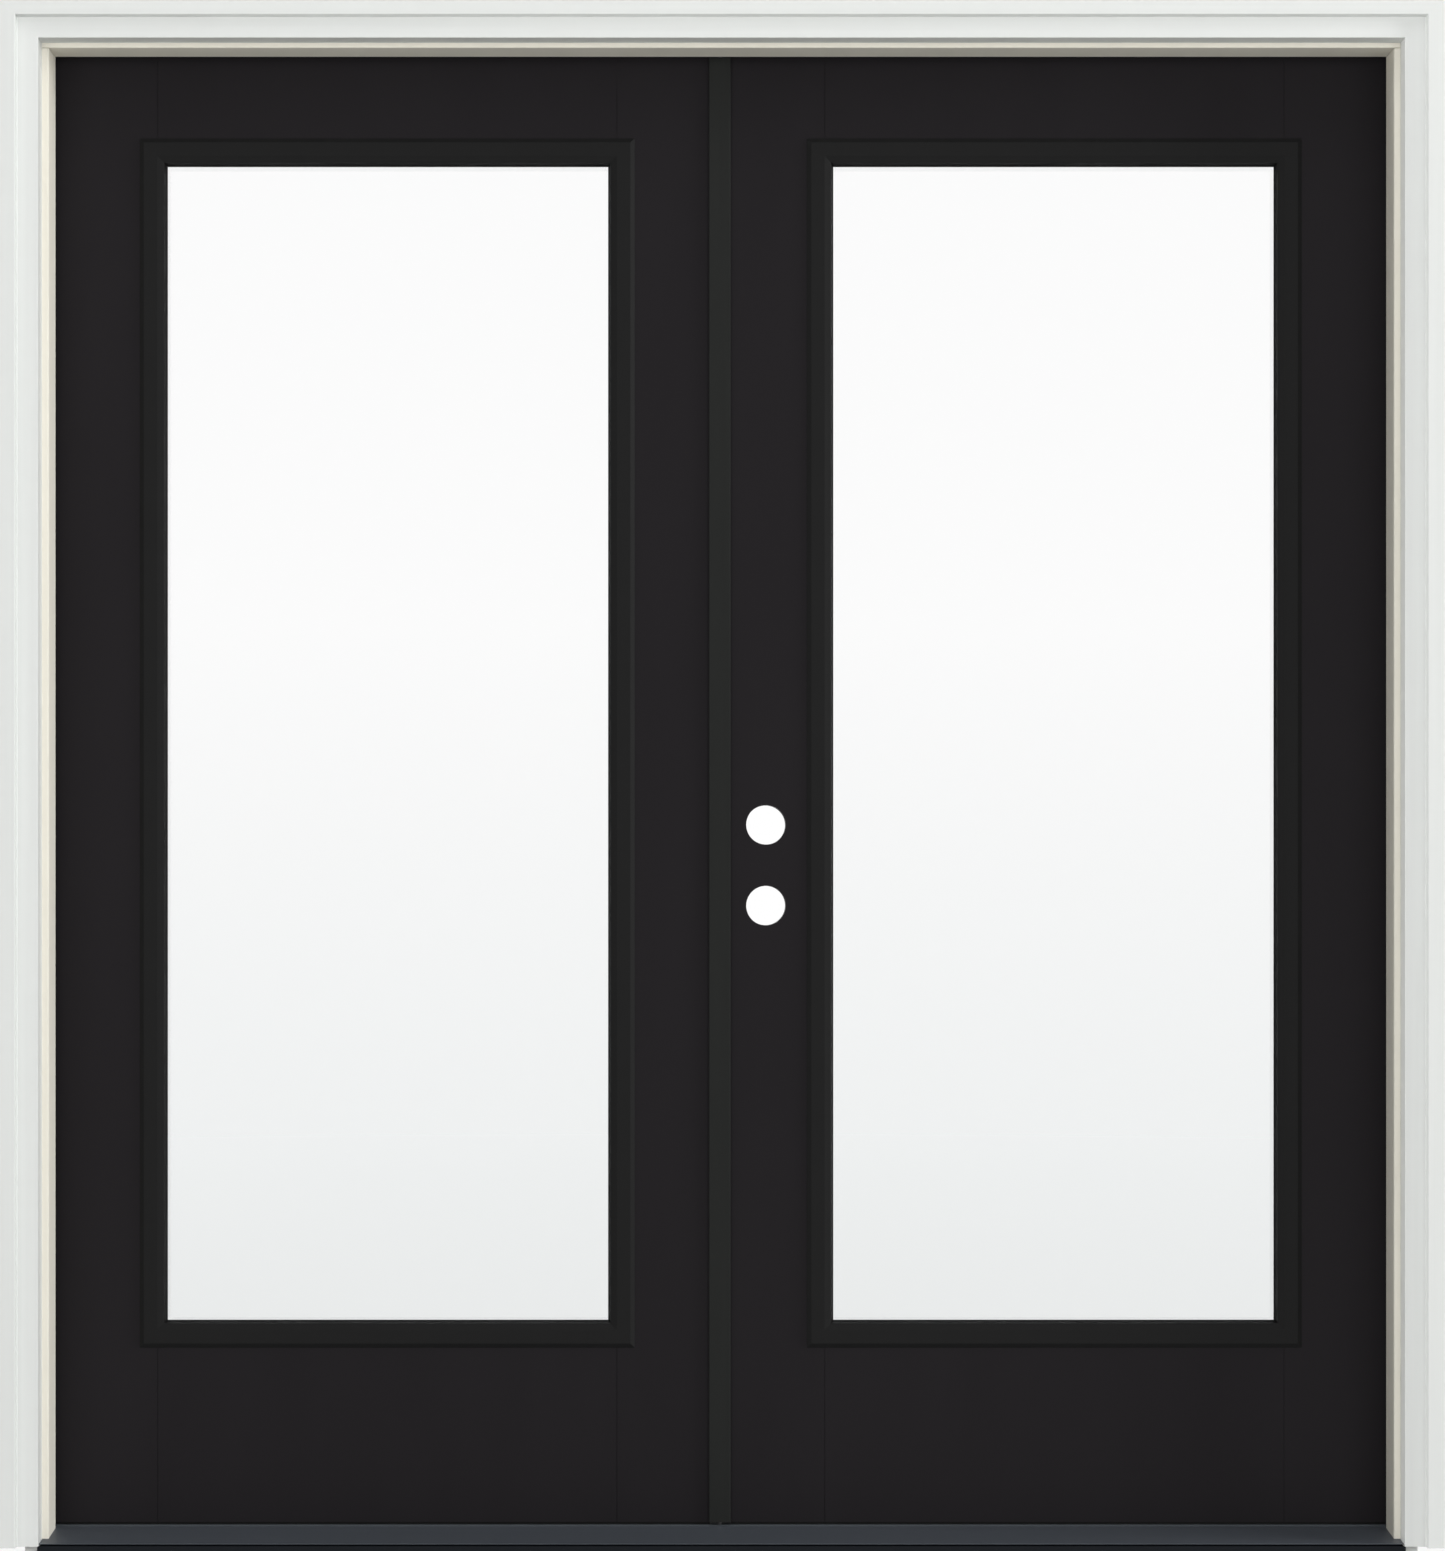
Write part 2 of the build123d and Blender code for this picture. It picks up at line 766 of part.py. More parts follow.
def make_glazing(leaf):
    """The lite of one leaf: two frames, two panes, the spacer between them and the screws."""
    make_lite_frame(leaf, leaf_front, 1, lite_face, lite_bevel, "exterior")
    make_lite_frame(leaf, leaf_back, -1, inner_lite_face, inner_lite_bevel, "interior")
    outer_face = leaf_front + glass_depth
    outer_back = outer_face + pane_thickness
    inner_front = outer_back + pane_gap
    with BuildPart() as outer_pane:
        add(lite_panel(leaf, pane_inset, outer_face, outer_back))
    save(outer_pane, f"{leaf.name}_outer_pane")

    with BuildPart() as inner_pane:
        add(lite_panel(leaf, pane_inset, inner_front, inner_front + pane_thickness))
    save(inner_pane, f"{leaf.name}_inner_pane")

    spacer_inset = pane_inset + spacer_setback
    with BuildPart() as spacer:
        add(lite_panel(leaf, spacer_inset, outer_back, inner_front))
        add(lite_panel(leaf, spacer_inset + spacer_width, outer_back, inner_front), mode=Mode.SUBTRACT)
    save(spacer, f"{leaf.name}_glass_spacer")

    with BuildPart() as screws:
        add(lite_screws(leaf, lite_screw))
    save(screws, f"{leaf.name}_lite_screws")


def lock_bores():
    """The two through holes for a lock and a deadlock, at their backset."""
    points = [(bore_x, height) for height in bore_heights]
    return rods(Plane.XZ, points, [(bore_diameter / 2, -leaf_back, -leaf_front)])


def latch_bores(face_x, way, depth):
    """The holes for the latches, drilled along X at the heights of the lock bores."""
    points = [(leaf_middle, height) for height in bore_heights]
    return rods(Plane.YZ.offset(face_x), points, [(latch_bore_diameter / 2, 0, depth)], way)


def make_skin(leaf, face_y, way, name):
    """A moulded skin with the hole for the lite and the lines where stiles meet rails."""
    x_ends = spread(leaf.hand, leaf.lock, hinge_edge)
    z_ends = (leaf_bottom, leaf_top)
    line_back = face_y + way * joint_line_depth
    with BuildPart() as sheet:
        add(block(x_ends, (face_y, face_y + way * skin), z_ends))
        add(lite_panel(leaf, cutout_inset, leaf_front, leaf_back), mode=Mode.SUBTRACT)
        for middle in (lite_inner + joint_line_inset, lite_outer - joint_line_inset):
            line_ends = spread(leaf.hand, middle - joint_line_width / 2, middle + joint_line_width / 2)
            add(block(line_ends, (face_y, line_back), z_ends), mode=Mode.SUBTRACT)
        add(hinge_plates(spread(leaf.hand, hinge_edge - hinge_plate, hinge_edge)), mode=Mode.SUBTRACT)
        if leaf is active_leaf:
            add(lock_bores(), mode=Mode.SUBTRACT)
    save(sheet, f"{leaf.name}_{name}_skin")


def sweep_kerf(leaf):
    """The slot along the bottom edge of a leaf that takes the sweep's barb."""
    y_ends = (leaf_middle - kerf_width / 2, leaf_middle + kerf_width / 2)
    return block(spread(leaf.hand, leaf.lock, hinge_edge), y_ends, (leaf_bottom, leaf_bottom + kerf_depth))


def make_leaf_frame(leaf):
    """The stiles, rails and foam between the skins of one leaf."""
    y_ends = (leaf_front + skin, leaf_back - skin)
    stile_inner = hinge_edge - hinge_stile_width
    lock_inner = leaf.lock + lock_stile_width
    rail_ends = spread(leaf.hand, lock_inner, stile_inner)
    bottom_rail_top = leaf_bottom + bottom_rail_height
    top_rail_bottom = leaf_top - top_rail_height
    with BuildPart() as hinge_stile:
        add(block(spread(leaf.hand, stile_inner, hinge_edge), y_ends, (leaf_bottom, leaf_top)))
        add(hinge_plates(spread(leaf.hand, hinge_edge - hinge_plate, hinge_edge)), mode=Mode.SUBTRACT)
        add(
            hinge_screws(leaf.hand * hinge_edge, leaf_hinge_screw, -leaf.hand, screw_clearance),
            mode=Mode.SUBTRACT,
        )
        add(sweep_kerf(leaf), mode=Mode.SUBTRACT)
    save(hinge_stile, f"{leaf.name}_hinge_stile")

    with BuildPart() as lock_stile:
        add(block(spread(leaf.hand, leaf.lock, lock_inner), y_ends, (leaf_bottom, leaf_top)))
        add(sweep_kerf(leaf), mode=Mode.SUBTRACT)
        if leaf is active_leaf:
            add(lock_bores(), mode=Mode.SUBTRACT)
            add(latch_bores(active_lock, 1, backset), mode=Mode.SUBTRACT)
        else:
            add(latch_bores(web_edge, -1, strike_depth), mode=Mode.SUBTRACT)
            add(astragal_screws(screw_clearance), mode=Mode.SUBTRACT)
    save(lock_stile, f"{leaf.name}_lock_stile")

    with BuildPart() as top_rail:
        add(block(rail_ends, y_ends, (top_rail_bottom, leaf_top)))
    save(top_rail, f"{leaf.name}_top_rail")

    with BuildPart() as bottom_rail:
        add(block(rail_ends, y_ends, (leaf_bottom, bottom_rail_top)))
        add(sweep_kerf(leaf), mode=Mode.SUBTRACT)
    save(bottom_rail, f"{leaf.name}_bottom_rail")

    with BuildPart() as core:
        add(block(rail_ends, y_ends, (bottom_rail_top, top_rail_bottom)))
        add(lite_panel(leaf, cutout_inset, leaf_front, leaf_back), mode=Mode.SUBTRACT)
    save(core, f"{leaf.name}_foam_core")


def make_leaf_sweep(leaf):
    """The rubber sweep under one leaf, with the barb that holds it."""
    x_ends = spread(leaf.hand, leaf.lock, hinge_edge)
    half_barb = kerf_width / 2 - barb_clearance
    barb_top = leaf_bottom + kerf_depth - barb_clearance
    with BuildPart() as strip:
        add(
            block(
                x_ends,
                (leaf_front + sweep_inset, leaf_back - sweep_inset),
                (leaf_bottom - sweep_thickness, leaf_bottom),
            )
        )
        add(block(x_ends, (leaf_middle - half_barb, leaf_middle + half_barb), (leaf_bottom, barb_top)))
    save(strip, f"{leaf.name}_sweep")


def astragal_screws(clearance=0):
    """The screws that hold the astragal to the passive leaf's lock stile."""
    y = leaf_front + leaf_thickness * astragal_screw_depth_share
    points = [(y, leaf_bottom + leaf_height * share) for share in astragal_screw_shares]
    return rods(Plane.YZ.offset(web_edge), points, astragal_screw, -1, clearance)


def flush_bolt(end_z, way, clearance=0, spare=0):
    """A bolt that rises or drops from a recessed end, with its knob; a spare makes it a pocket."""
    tip = end_z - way * bolt_recess
    root = tip - way * bolt_length
    knob_z = root + way * knob_inset
    knob_reach = web_edge + knob_proud
    knob_room = clearance and knob_clearance
    low_knob = knob_z - way * (knob_radius + knob_room)
    high_knob = knob_z + way * (knob_radius + knob_room + spare)
    knob_width = knob_radius + knob_room
    with BuildPart() as bolt:
        add(
            rods(
                Plane.XY,
                [(bolt_x, leaf_middle)],
                [(bolt_radius, min(root, tip + way * spare), max(root, tip + way * spare))],
                clearance=clearance,
            )
        )
        add(
            block(
                (bolt_x, knob_reach),
                (leaf_middle - knob_width, leaf_middle + knob_width),
                (low_knob, high_knob),
            )
        )
    return bolt.part


def make_astragal():
    """The astragal on the passive leaf's lock edge, its lip, screws and flush bolts."""
    cap_front = leaf_front - cap_thickness
    cap_top = stop_height + strip_recess - lip_top_clearance
    cap_start = passive_lock - cap_overlap
    cap_section = [
        (cap_start, leaf_front),
        (web_edge, leaf_front),
        (web_edge, cap_front),
        (cap_start + cap_easing, cap_front),
        (cap_start, cap_front + cap_easing),
    ]
    with BuildPart() as astragal:
        add(block((passive_lock, web_edge), (leaf_front, leaf_back), (leaf_bottom, leaf_top)))
        extrude(outline(Plane.XY.offset(leaf_bottom), cap_section), amount=cap_top - leaf_bottom)
        for end_z, way in ((leaf_top, 1), (leaf_bottom, -1)):
            add(flush_bolt(end_z, way, bolt_clearance, bolt_travel), mode=Mode.SUBTRACT)
        add(latch_bores(web_edge, -1, strike_depth), mode=Mode.SUBTRACT)
        add(astragal_screws(screw_clearance), mode=Mode.SUBTRACT)
    save(astragal, "astragal")

    lip_end = active_lock + lip_overlap
    lip_back = leaf_front - lip_clearance
    lip_section = [
        (web_edge, lip_back),
        (lip_end, lip_back),
        (lip_end, cap_front + cap_easing),
        (lip_end - cap_easing, cap_front),
        (web_edge, cap_front),
    ]
    with BuildPart() as lip:
        extrude(outline(Plane.XY.offset(leaf_bottom), lip_section), amount=cap_top - leaf_bottom)
    save(lip, "astragal_lip")

    with BuildPart() as top_bolt:
        add(flush_bolt(leaf_top, 1))
    save(top_bolt, "astragal_top_bolt")

    with BuildPart() as bottom_bolt:
        add(flush_bolt(leaf_bottom, -1))
    save(bottom_bolt, "astragal_bottom_bolt")

    with BuildPart() as screws:
        add(astragal_screws())
    save(screws, "astragal_screws")


def make_leaf(leaf):
    """Every piece of one leaf."""
    make_skin(leaf, leaf_front, 1, "exterior")
    make_skin(leaf, leaf_back, -1, "interior")
    make_leaf_frame(leaf)
    make_glazing(leaf)
    make_leaf_sweep(leaf)
    make_leaf_hinges(leaf)


def make_frame():
    """Every fixed piece: jambs, casing, sill, seals and the fixed halves of the hinges."""
    for side, prefix in ((-1, "left"), (1, "right")):
        make_side_jamb(side, f"{prefix}_jamb")
        make_casing_leg(side, f"{prefix}_brickmould")
        make_frame_hinges(side, prefix)
    make_head_jamb()
    make_casing_head()
    make_sill()
    make_weatherstrips()
    with BuildPart() as screws:
        add(corner_screws())
    save(screws, "frame_corner_screws")


os.makedirs("parts", exist_ok=True)
make_frame()
make_leaf(active_leaf)
make_leaf(passive_leaf)
make_astragal()
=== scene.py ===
"""A pair of glazed entrance doors in their frame, dressed for a portrait from outside.

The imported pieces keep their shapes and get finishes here. The soft seals are modelled anew in
the room of their solids. Lengths are in metres, in the frame that the pieces share.
"""

import json
import logging
import math
from collections.abc import Callable
from dataclasses import dataclass, field
from enum import Enum

import bpy
from mathutils import Matrix, Vector

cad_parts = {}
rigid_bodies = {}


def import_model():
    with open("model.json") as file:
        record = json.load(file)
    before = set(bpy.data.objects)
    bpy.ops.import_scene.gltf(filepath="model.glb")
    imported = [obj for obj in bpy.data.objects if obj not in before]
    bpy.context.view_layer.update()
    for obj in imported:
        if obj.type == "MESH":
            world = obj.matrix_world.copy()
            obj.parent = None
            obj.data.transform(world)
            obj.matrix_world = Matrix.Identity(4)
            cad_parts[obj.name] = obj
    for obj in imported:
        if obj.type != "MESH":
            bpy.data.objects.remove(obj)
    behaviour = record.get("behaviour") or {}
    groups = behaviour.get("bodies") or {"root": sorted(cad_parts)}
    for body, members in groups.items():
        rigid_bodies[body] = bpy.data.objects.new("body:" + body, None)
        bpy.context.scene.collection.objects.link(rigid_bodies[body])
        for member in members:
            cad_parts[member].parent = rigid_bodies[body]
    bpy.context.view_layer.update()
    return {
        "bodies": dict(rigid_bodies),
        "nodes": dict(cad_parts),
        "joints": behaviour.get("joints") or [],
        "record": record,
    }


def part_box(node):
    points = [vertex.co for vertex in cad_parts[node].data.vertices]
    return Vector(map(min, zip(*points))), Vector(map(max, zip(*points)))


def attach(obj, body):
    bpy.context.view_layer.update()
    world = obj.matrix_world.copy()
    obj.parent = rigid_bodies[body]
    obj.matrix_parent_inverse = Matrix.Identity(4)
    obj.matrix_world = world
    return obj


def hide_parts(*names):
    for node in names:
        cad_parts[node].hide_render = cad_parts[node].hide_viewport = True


LOG = logging.getLogger("french_doors")
MILLIMETRE = 0.001
TOUCH = 1e-5  # Places closer than this, in metres, count as the same.
WELD = 1e-6  # Vertices closer than this, in metres, become one.
FACING = 0.9  # Cosine from which a face or an edge counts as pointing a way.
FLAT = 0.99  # Cosine from which a face counts as square to a way.
SHARP_ANGLE = math.radians(40.0)  # Edges that turn by more than this stay sharp.

Colour = tuple[float, float, float, float]
Triple = tuple[float, float, float]


def linear(code: str) -> Colour:
    """Turn an sRGB hex colour into the linear colour that a shader takes.

    Args:
        code: Six hex digits after a hash sign.

    Returns:
        Red, green and blue in linear light, and an opaque alpha.
    """
    channels = [int(code[start : start + 2], 16) / 255 for start in (1, 3, 5)]
    steps = [c / 12.92 if c <= 0.04045 else ((c + 0.055) / 1.055) ** 2.4 for c in channels]
    return (steps[0], steps[1], steps[2], 1.0)


def add_node(
    tree: bpy.types.NodeTree,
    kind: str,
    settings: dict[str, object] | None = None,
    values: dict[str | int, object] | None = None,
    links: dict[str | int, bpy.types.NodeSocket] | None = None,
) -> bpy.types.Node:
    """Add a node with its settings, its socket values and its incoming links.

    Args:
        tree: The node tree that gets the node.
        kind: The node's type name.
        settings: Properties of the node itself.
        values: Values of input sockets, by name or number.
        links: Output sockets to join to input sockets, by name or number.

    Returns:
        The new node.
    """
    node = tree.nodes.new(kind)
    for name, value in (settings or {}).items():
        setattr(node, name, value)
    for key, value in (values or {}).items():
        node.inputs[key].default_value = value
    for key, socket in (links or {}).items():
        tree.links.new(socket, node.inputs[key])
    return node


class Pattern(Enum):
    """What the surface of a finish is broken up by."""

    NOISE = "ShaderNodeTexNoise"
    CELLS = "ShaderNodeTexVoronoi"


@dataclass(frozen=True)
class Layer:
    """A pattern with its real size across, through and along the piece in millimetres."""

    pattern: Pattern
    size_mm: Triple
    detail: float = 2.0

    def draw(self, tree: bpy.types.NodeTree, level: bool) -> bpy.types.NodeSocket:
        """Add the pattern to a material.

        Args:
            tree: The material's node tree.
            level: Whether the piece lies along X instead of standing along Z.

        Returns:
            The socket that gives the pattern from 0 to 1.
        """
        place = add_node(tree, "ShaderNodeTexCoord")
        sizes = self.size_mm[::-1] if level else self.size_mm
        scale = tuple(1 / (size * MILLIMETRE) for size in sizes)
        mapped = add_node(
            tree,
            "ShaderNodeMapping",
            values={"Scale": scale},
            links={"Vector": place.outputs["Object"]},
        )
        texture = add_node(
            tree,
            self.pattern.value,
            values={"Scale": 1.0, "Detail": self.detail},
            links={"Vector": mapped.outputs["Vector"]},
        )
        return texture.outputs[0]


@dataclass(frozen=True)
class Finish:
    """A surface as its maker would describe it, with a tone layer and a relief layer.

    The tone layer moves the colour from dark to light and the roughness with it. The relief layer
    raises the surface by relief_mm.
    """

    name: str
    dark: str
    light: str
    roughness: tuple[float, float]
    tone: Layer
    relief: Layer
    relief_mm: float
    sockets: dict[str, object] = field(default_factory=dict)

    def make(self, level: bool) -> bpy.types.Material:
        """Build the material.

        Args:
            level: Whether its grain runs along X instead of Z.

        Returns:
            The finished material.
        """
        material = bpy.data.materials.new(f"level_{self.name}" if level else self.name)
        material.use_nodes = True
        tree = material.node_tree
        shader = tree.nodes["Principled BSDF"]
        for name, value in self.sockets.items():
            shader.inputs[name].default_value = value
        tone = self.tone.draw(tree, level)
        colour = add_node(
            tree,
            "ShaderNodeMix",
            settings={"data_type": "RGBA"},
            values={6: linear(self.dark), 7: linear(self.light)},
            links={0: tone},
        )
        gloss = add_node(
            tree,
            "ShaderNodeMapRange",
            values={"To Min": self.roughness[0], "To Max": self.roughness[1]},
            links={"Value": tone},
        )
        relief = add_node(
            tree,
            "ShaderNodeBump",
            values={"Strength": 1.0, "Distance": self.relief_mm * MILLIMETRE},
            links={"Height": self.relief.draw(tree, level)},
        )
        tree.links.new(colour.outputs[2], shader.inputs["Base Color"])
        tree.links.new(gloss.outputs["Result"], shader.inputs["Roughness"])
        tree.links.new(relief.outputs["Normal"], shader.inputs["Normal"])
        return material


@dataclass(frozen=True)
class FloatGlass:
    """Clear float glass: see-through, with a trace of dust, and painted shade that greys it towards
    its foot in place of the shaded floor seen through it.
    """

    name: str = "clear_float_glass"
    tint: str = "#fdfdfd"
    # Painted shade: the pane darkens to this tint towards its foot, between the two heights below,
    # in place of the shaded floor seen through it.
    painted_shade_tint: str = "#f6f7f7"
    painted_shade_heights: tuple[float, float] = (0.5, 1.25)
    ior: float = 1.52
    dust: Layer = Layer(Pattern.NOISE, (60.0, 60.0, 60.0), 6.0)
    dust_roughness: tuple[float, float] = (0.0, 0.012)

    def make(self, level: bool) -> bpy.types.Material:
        """Build the material.

        Args:
            level: Whether the pane lies along X instead of standing along Z.

        Returns:
            The finished material.
        """
        material = bpy.data.materials.new(self.name)
        material.use_nodes = True
        tree = material.node_tree
        shader = tree.nodes["Principled BSDF"]
        shader.inputs["IOR"].default_value = self.ior
        shader.inputs["Transmission Weight"].default_value = 1.0
        dust = add_node(
            tree,
            "ShaderNodeMapRange",
            values={"To Min": self.dust_roughness[0], "To Max": self.dust_roughness[1]},
            links={"Value": self.dust.draw(tree, level)},
        )
        place = add_node(tree, "ShaderNodeTexCoord")
        axes = add_node(tree, "ShaderNodeSeparateXYZ", links={0: place.outputs["Object"]})
        # Painted shade: the colour fades from the clear tint to the darker shade tint below these
        # heights.
        clear = add_node(
            tree,
            "ShaderNodeMapRange",
            values={"From Min": self.painted_shade_heights[0], "From Max": self.painted_shade_heights[1]},
            links={"Value": axes.outputs["Z"]},
        )
        colour = add_node(
            tree,
            "ShaderNodeMix",
            settings={"data_type": "RGBA"},
            values={6: linear(self.painted_shade_tint), 7: linear(self.tint)},
            links={0: clear.outputs["Result"]},
        )
        tree.links.new(colour.outputs[2], shader.inputs["Base Color"])
        tree.links.new(dust.outputs["Result"], shader.inputs["Roughness"])
        return material


SATIN_BLACK = {"IOR": 1.46, "Specular IOR Level": 0.1}

# Each finish is listed under the material slot of the record that it dresses.
FINISHES: dict[str, Finish | FloatGlass] = {
    # Extruded cellular PVC: an even white with faint lines along its length and a soft satin gloss.
    "white_casing": Finish(
        "extruded_white_pvc",
        dark="#d9dbd9",
        light="#dfe1df",
        roughness=(0.42, 0.5),
        tone=Layer(Pattern.NOISE, (7.0, 7.0, 420.0), 3.0),
        relief=Layer(Pattern.NOISE, (1.6, 1.6, 160.0), 2.0),
        relief_mm=0.03,
        sockets={"IOR": 1.48, "Specular IOR Level": 0.35},
    ),
    # Finger-jointed pine under almond primer: grain just raised under a flat, thin coat.
    "primed_jamb": Finish(
        "primed_almond_pine",
        dark="#e7e3d6",
        light="#efebdf",
        roughness=(0.55, 0.68),
        tone=Layer(Pattern.NOISE, (5.0, 5.0, 260.0), 4.0),
        relief=Layer(Pattern.NOISE, (1.2, 1.2, 60.0), 4.0),
        relief_mm=0.05,
        sockets={"IOR": 1.46, "Specular IOR Level": 0.25},
    ),
    # Compression-moulded fibreglass, smooth and painted: a satin black with a slight orange peel.
    "leaf_skin": Finish(
        "painted_smooth_fibreglass",
        dark="#1b191b",
        light="#201e20",
        roughness=(0.6, 0.68),
        tone=Layer(Pattern.NOISE, (90.0, 90.0, 420.0), 3.0),
        relief=Layer(Pattern.NOISE, (3.2, 3.2, 3.2), 2.0),
        relief_mm=0.03,
        sockets=SATIN_BLACK,
    ),
    # Engineered timber edges, sawn and painted black: fibres show through the coat.
    "leaf_timber": Finish(
        "black_painted_timber",
        dark="#131212",
        light="#1e1d1d",
        roughness=(0.5, 0.68),
        tone=Layer(Pattern.NOISE, (3.0, 3.0, 140.0), 5.0),
        relief=Layer(Pattern.NOISE, (0.9, 0.9, 40.0), 4.0),
        relief_mm=0.08,
        sockets=SATIN_BLACK,
    ),
    # Poured polyurethane: a straw-coloured rigid foam of fine cells.
    "core_foam": Finish(
        "rigid_polyurethane_foam",
        dark="#cfb878",
        light="#e6d7a2",
        roughness=(0.85, 0.98),
        tone=Layer(Pattern.NOISE, (14.0, 14.0, 14.0), 4.0),
        relief=Layer(Pattern.CELLS, (1.4, 1.4, 1.4), 1.0),
        relief_mm=0.5,
    ),
    # Injection-moulded polypropylene: a matt black with the fine grain of an etched mould.
    "lite_frame": Finish(
        "moulded_grained_polypropylene",
        dark="#151515",
        light="#191919",
        roughness=(0.58, 0.66),
        tone=Layer(Pattern.NOISE, (40.0, 40.0, 40.0), 3.0),
        relief=Layer(Pattern.CELLS, (1.1, 1.1, 1.1), 1.0),
        relief_mm=0.035,
        sockets={"IOR": 1.49, "Specular IOR Level": 0.13},
    ),
    # Float glass: clear and sharp, with a trace of dust, and painted shade that greys it towards
    # its foot.
    "clear_glass": FloatGlass(),
    # Roll-formed aluminium spacer: a dull mill finish with marks along the roll.
    "spacer_bar": Finish(
        "mill_finish_spacer",
        dark="#8d8f90",
        light="#b2b4b5",
        roughness=(0.3, 0.45),
        tone=Layer(Pattern.NOISE, (30.0, 1.2, 30.0), 3.0),
        relief=Layer(Pattern.NOISE, (8.0, 0.7, 8.0), 2.0),
        relief_mm=0.02,
        sockets={"Metallic": 1.0},
    ),
    # Foam in a polyethylene skin: a dull black with fine creases.
    "black_seal": Finish(
        "skinned_black_foam",
        dark="#101010",
        light="#1b1b1b",
        roughness=(0.6, 0.78),
        tone=Layer(Pattern.NOISE, (18.0, 18.0, 18.0), 3.0),
        relief=Layer(Pattern.NOISE, (1.5, 1.5, 4.0), 4.0),
        relief_mm=0.12,
        sockets={"IOR": 1.5, "Specular IOR Level": 0.2},
    ),
    # Extruded aluminium, anodised slate: a dark metal with fine die lines along its length.
    "sill_aluminium": Finish(
        "anodised_slate_aluminium",
        dark="#4f545b",
        light="#5b6067",
        roughness=(0.4, 0.54),
        tone=Layer(Pattern.NOISE, (2.2, 2.2, 420.0), 3.0),
        relief=Layer(Pattern.NOISE, (0.9, 0.9, 180.0), 2.0),
        relief_mm=0.03,
        sockets={"Metallic": 0.35, "Specular IOR Level": 0.3},
    ),
    # Black composite nosing: a dull charcoal with fine flow lines along it.
    "sill_apron": Finish(
        "charcoal_composite_nosing",
        dark="#131518",
        light="#191c20",
        roughness=(0.5, 0.64),
        tone=Layer(Pattern.NOISE, (2.0, 2.0, 60.0), 4.0),
        relief=Layer(Pattern.NOISE, (1.0, 1.0, 24.0), 3.0),
        relief_mm=0.05,
        sockets=SATIN_BLACK,
    ),
    # Extruded foam PVC under the sill: a pale grey that never sees the light.
    "sill_substrate": Finish(
        "pale_foam_pvc",
        dark="#cfd0ce",
        light="#dcdddb",
        roughness=(0.6, 0.75),
        tone=Layer(Pattern.NOISE, (9.0, 9.0, 300.0), 3.0),
        relief=Layer(Pattern.NOISE, (1.6, 1.6, 60.0), 3.0),
        relief_mm=0.06,
        sockets={"Specular IOR Level": 0.3},
    ),
    # Wood-fibre composite, planed: a dark slate with flecks drawn out along the extrusion.
    "riser_composite": Finish(
        "slate_fibre_composite",
        dark="#33373b",
        light="#454a4e",
        roughness=(0.5, 0.66),
        tone=Layer(Pattern.NOISE, (1.8, 1.8, 26.0), 5.0),
        relief=Layer(Pattern.NOISE, (1.1, 1.1, 14.0), 4.0),
        relief_mm=0.08,
        sockets={"Specular IOR Level": 0.3},
    ),
    # Stamped steel plated satin nickel: a warm grey brushed upright.
    "hinge_metal": Finish(
        "satin_nickel_plate",
        dark="#a19d95",
        light="#bdb9b1",
        roughness=(0.28, 0.4),
        tone=Layer(Pattern.NOISE, (1.0, 1.0, 40.0), 4.0),
        relief=Layer(Pattern.NOISE, (0.6, 0.6, 26.0), 3.0),
        relief_mm=0.02,
        sockets={"Metallic": 1.0},
    ),
    # Cold-headed steel, zinc plated: bright, with cloudy patches of passivation.
    "screw_steel": Finish(
        "zinc_plated_steel",
        dark="#9da1a4",
        light="#c5c7c6",
        roughness=(0.26, 0.44),
        tone=Layer(Pattern.NOISE, (4.0, 4.0, 4.0), 4.0),
        relief=Layer(Pattern.NOISE, (1.2, 1.2, 1.2), 3.0),
        relief_mm=0.03,
        sockets={"Metallic": 1.0},
    ),
    # Drawn stainless rod: fine rings round it from the polishing belt.
    "bolt_steel": Finish(
        "belt_polished_stainless",
        dark="#a5a6a6",
        light="#c3c4c3",
        roughness=(0.24, 0.36),
        tone=Layer(Pattern.NOISE, (9.0, 9.0, 0.8), 4.0),
        relief=Layer(Pattern.NOISE, (6.0, 6.0, 0.5), 3.0),
        relief_mm=0.015,
        sockets={"Metallic": 1.0},
    ),
    # Powder-coated aluminium: a neutral black with the pebbled skin of baked powder.
    "astragal_metal": Finish(
        "black_powder_coat",
        dark="#1f201f",
        light="#252625",
        roughness=(0.6, 0.7),
        tone=Layer(Pattern.NOISE, (50.0, 50.0, 220.0), 3.0),
        relief=Layer(Pattern.NOISE, (1.8, 1.8, 1.8), 2.0),
        relief_mm=0.05,
        sockets=SATIN_BLACK,
    ),
    # Extruded thermoplastic rubber: matt black, with flow lines along the strip.
    "astragal_lip": Finish(
        "extruded_black_rubber",
        dark="#1f201f",
        light="#252625",
        roughness=(0.62, 0.72),
        tone=Layer(Pattern.NOISE, (6.0, 6.0, 220.0), 3.0),
        relief=Layer(Pattern.NOISE, (1.2, 1.2, 50.0), 3.0),
        relief_mm=0.04,
        sockets=SATIN_BLACK,
    ),
}


@dataclass
class Wardrobe:
    """The finishes as materials, each made when first asked for and put on the pieces by slot."""

    materials: dict[tuple[str, bool], bpy.types.Material] = field(default_factory=dict)

    def dress(self, piece: bpy.types.Object, slot: str) -> None:
        """Put a slot's material on the whole of a piece, with its grain along the piece.

        Args:
            piece: The object to dress.
            slot: The material slot of the record.
        """
        level = piece.dimensions.x > piece.dimensions.z
        if (slot, level) not in self.materials:
            self.materials[slot, level] = FINISHES[slot].make(level)
        piece.data.materials.clear()
        piece.data.materials.append(self.materials[slot, level])

    def dress_frame(self, frame: dict) -> None:
        """Put the record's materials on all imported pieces.
        """
        for part in frame["record"]["subparts"]:
            self.dress(frame["nodes"][part["node"]], part["material_slot"])


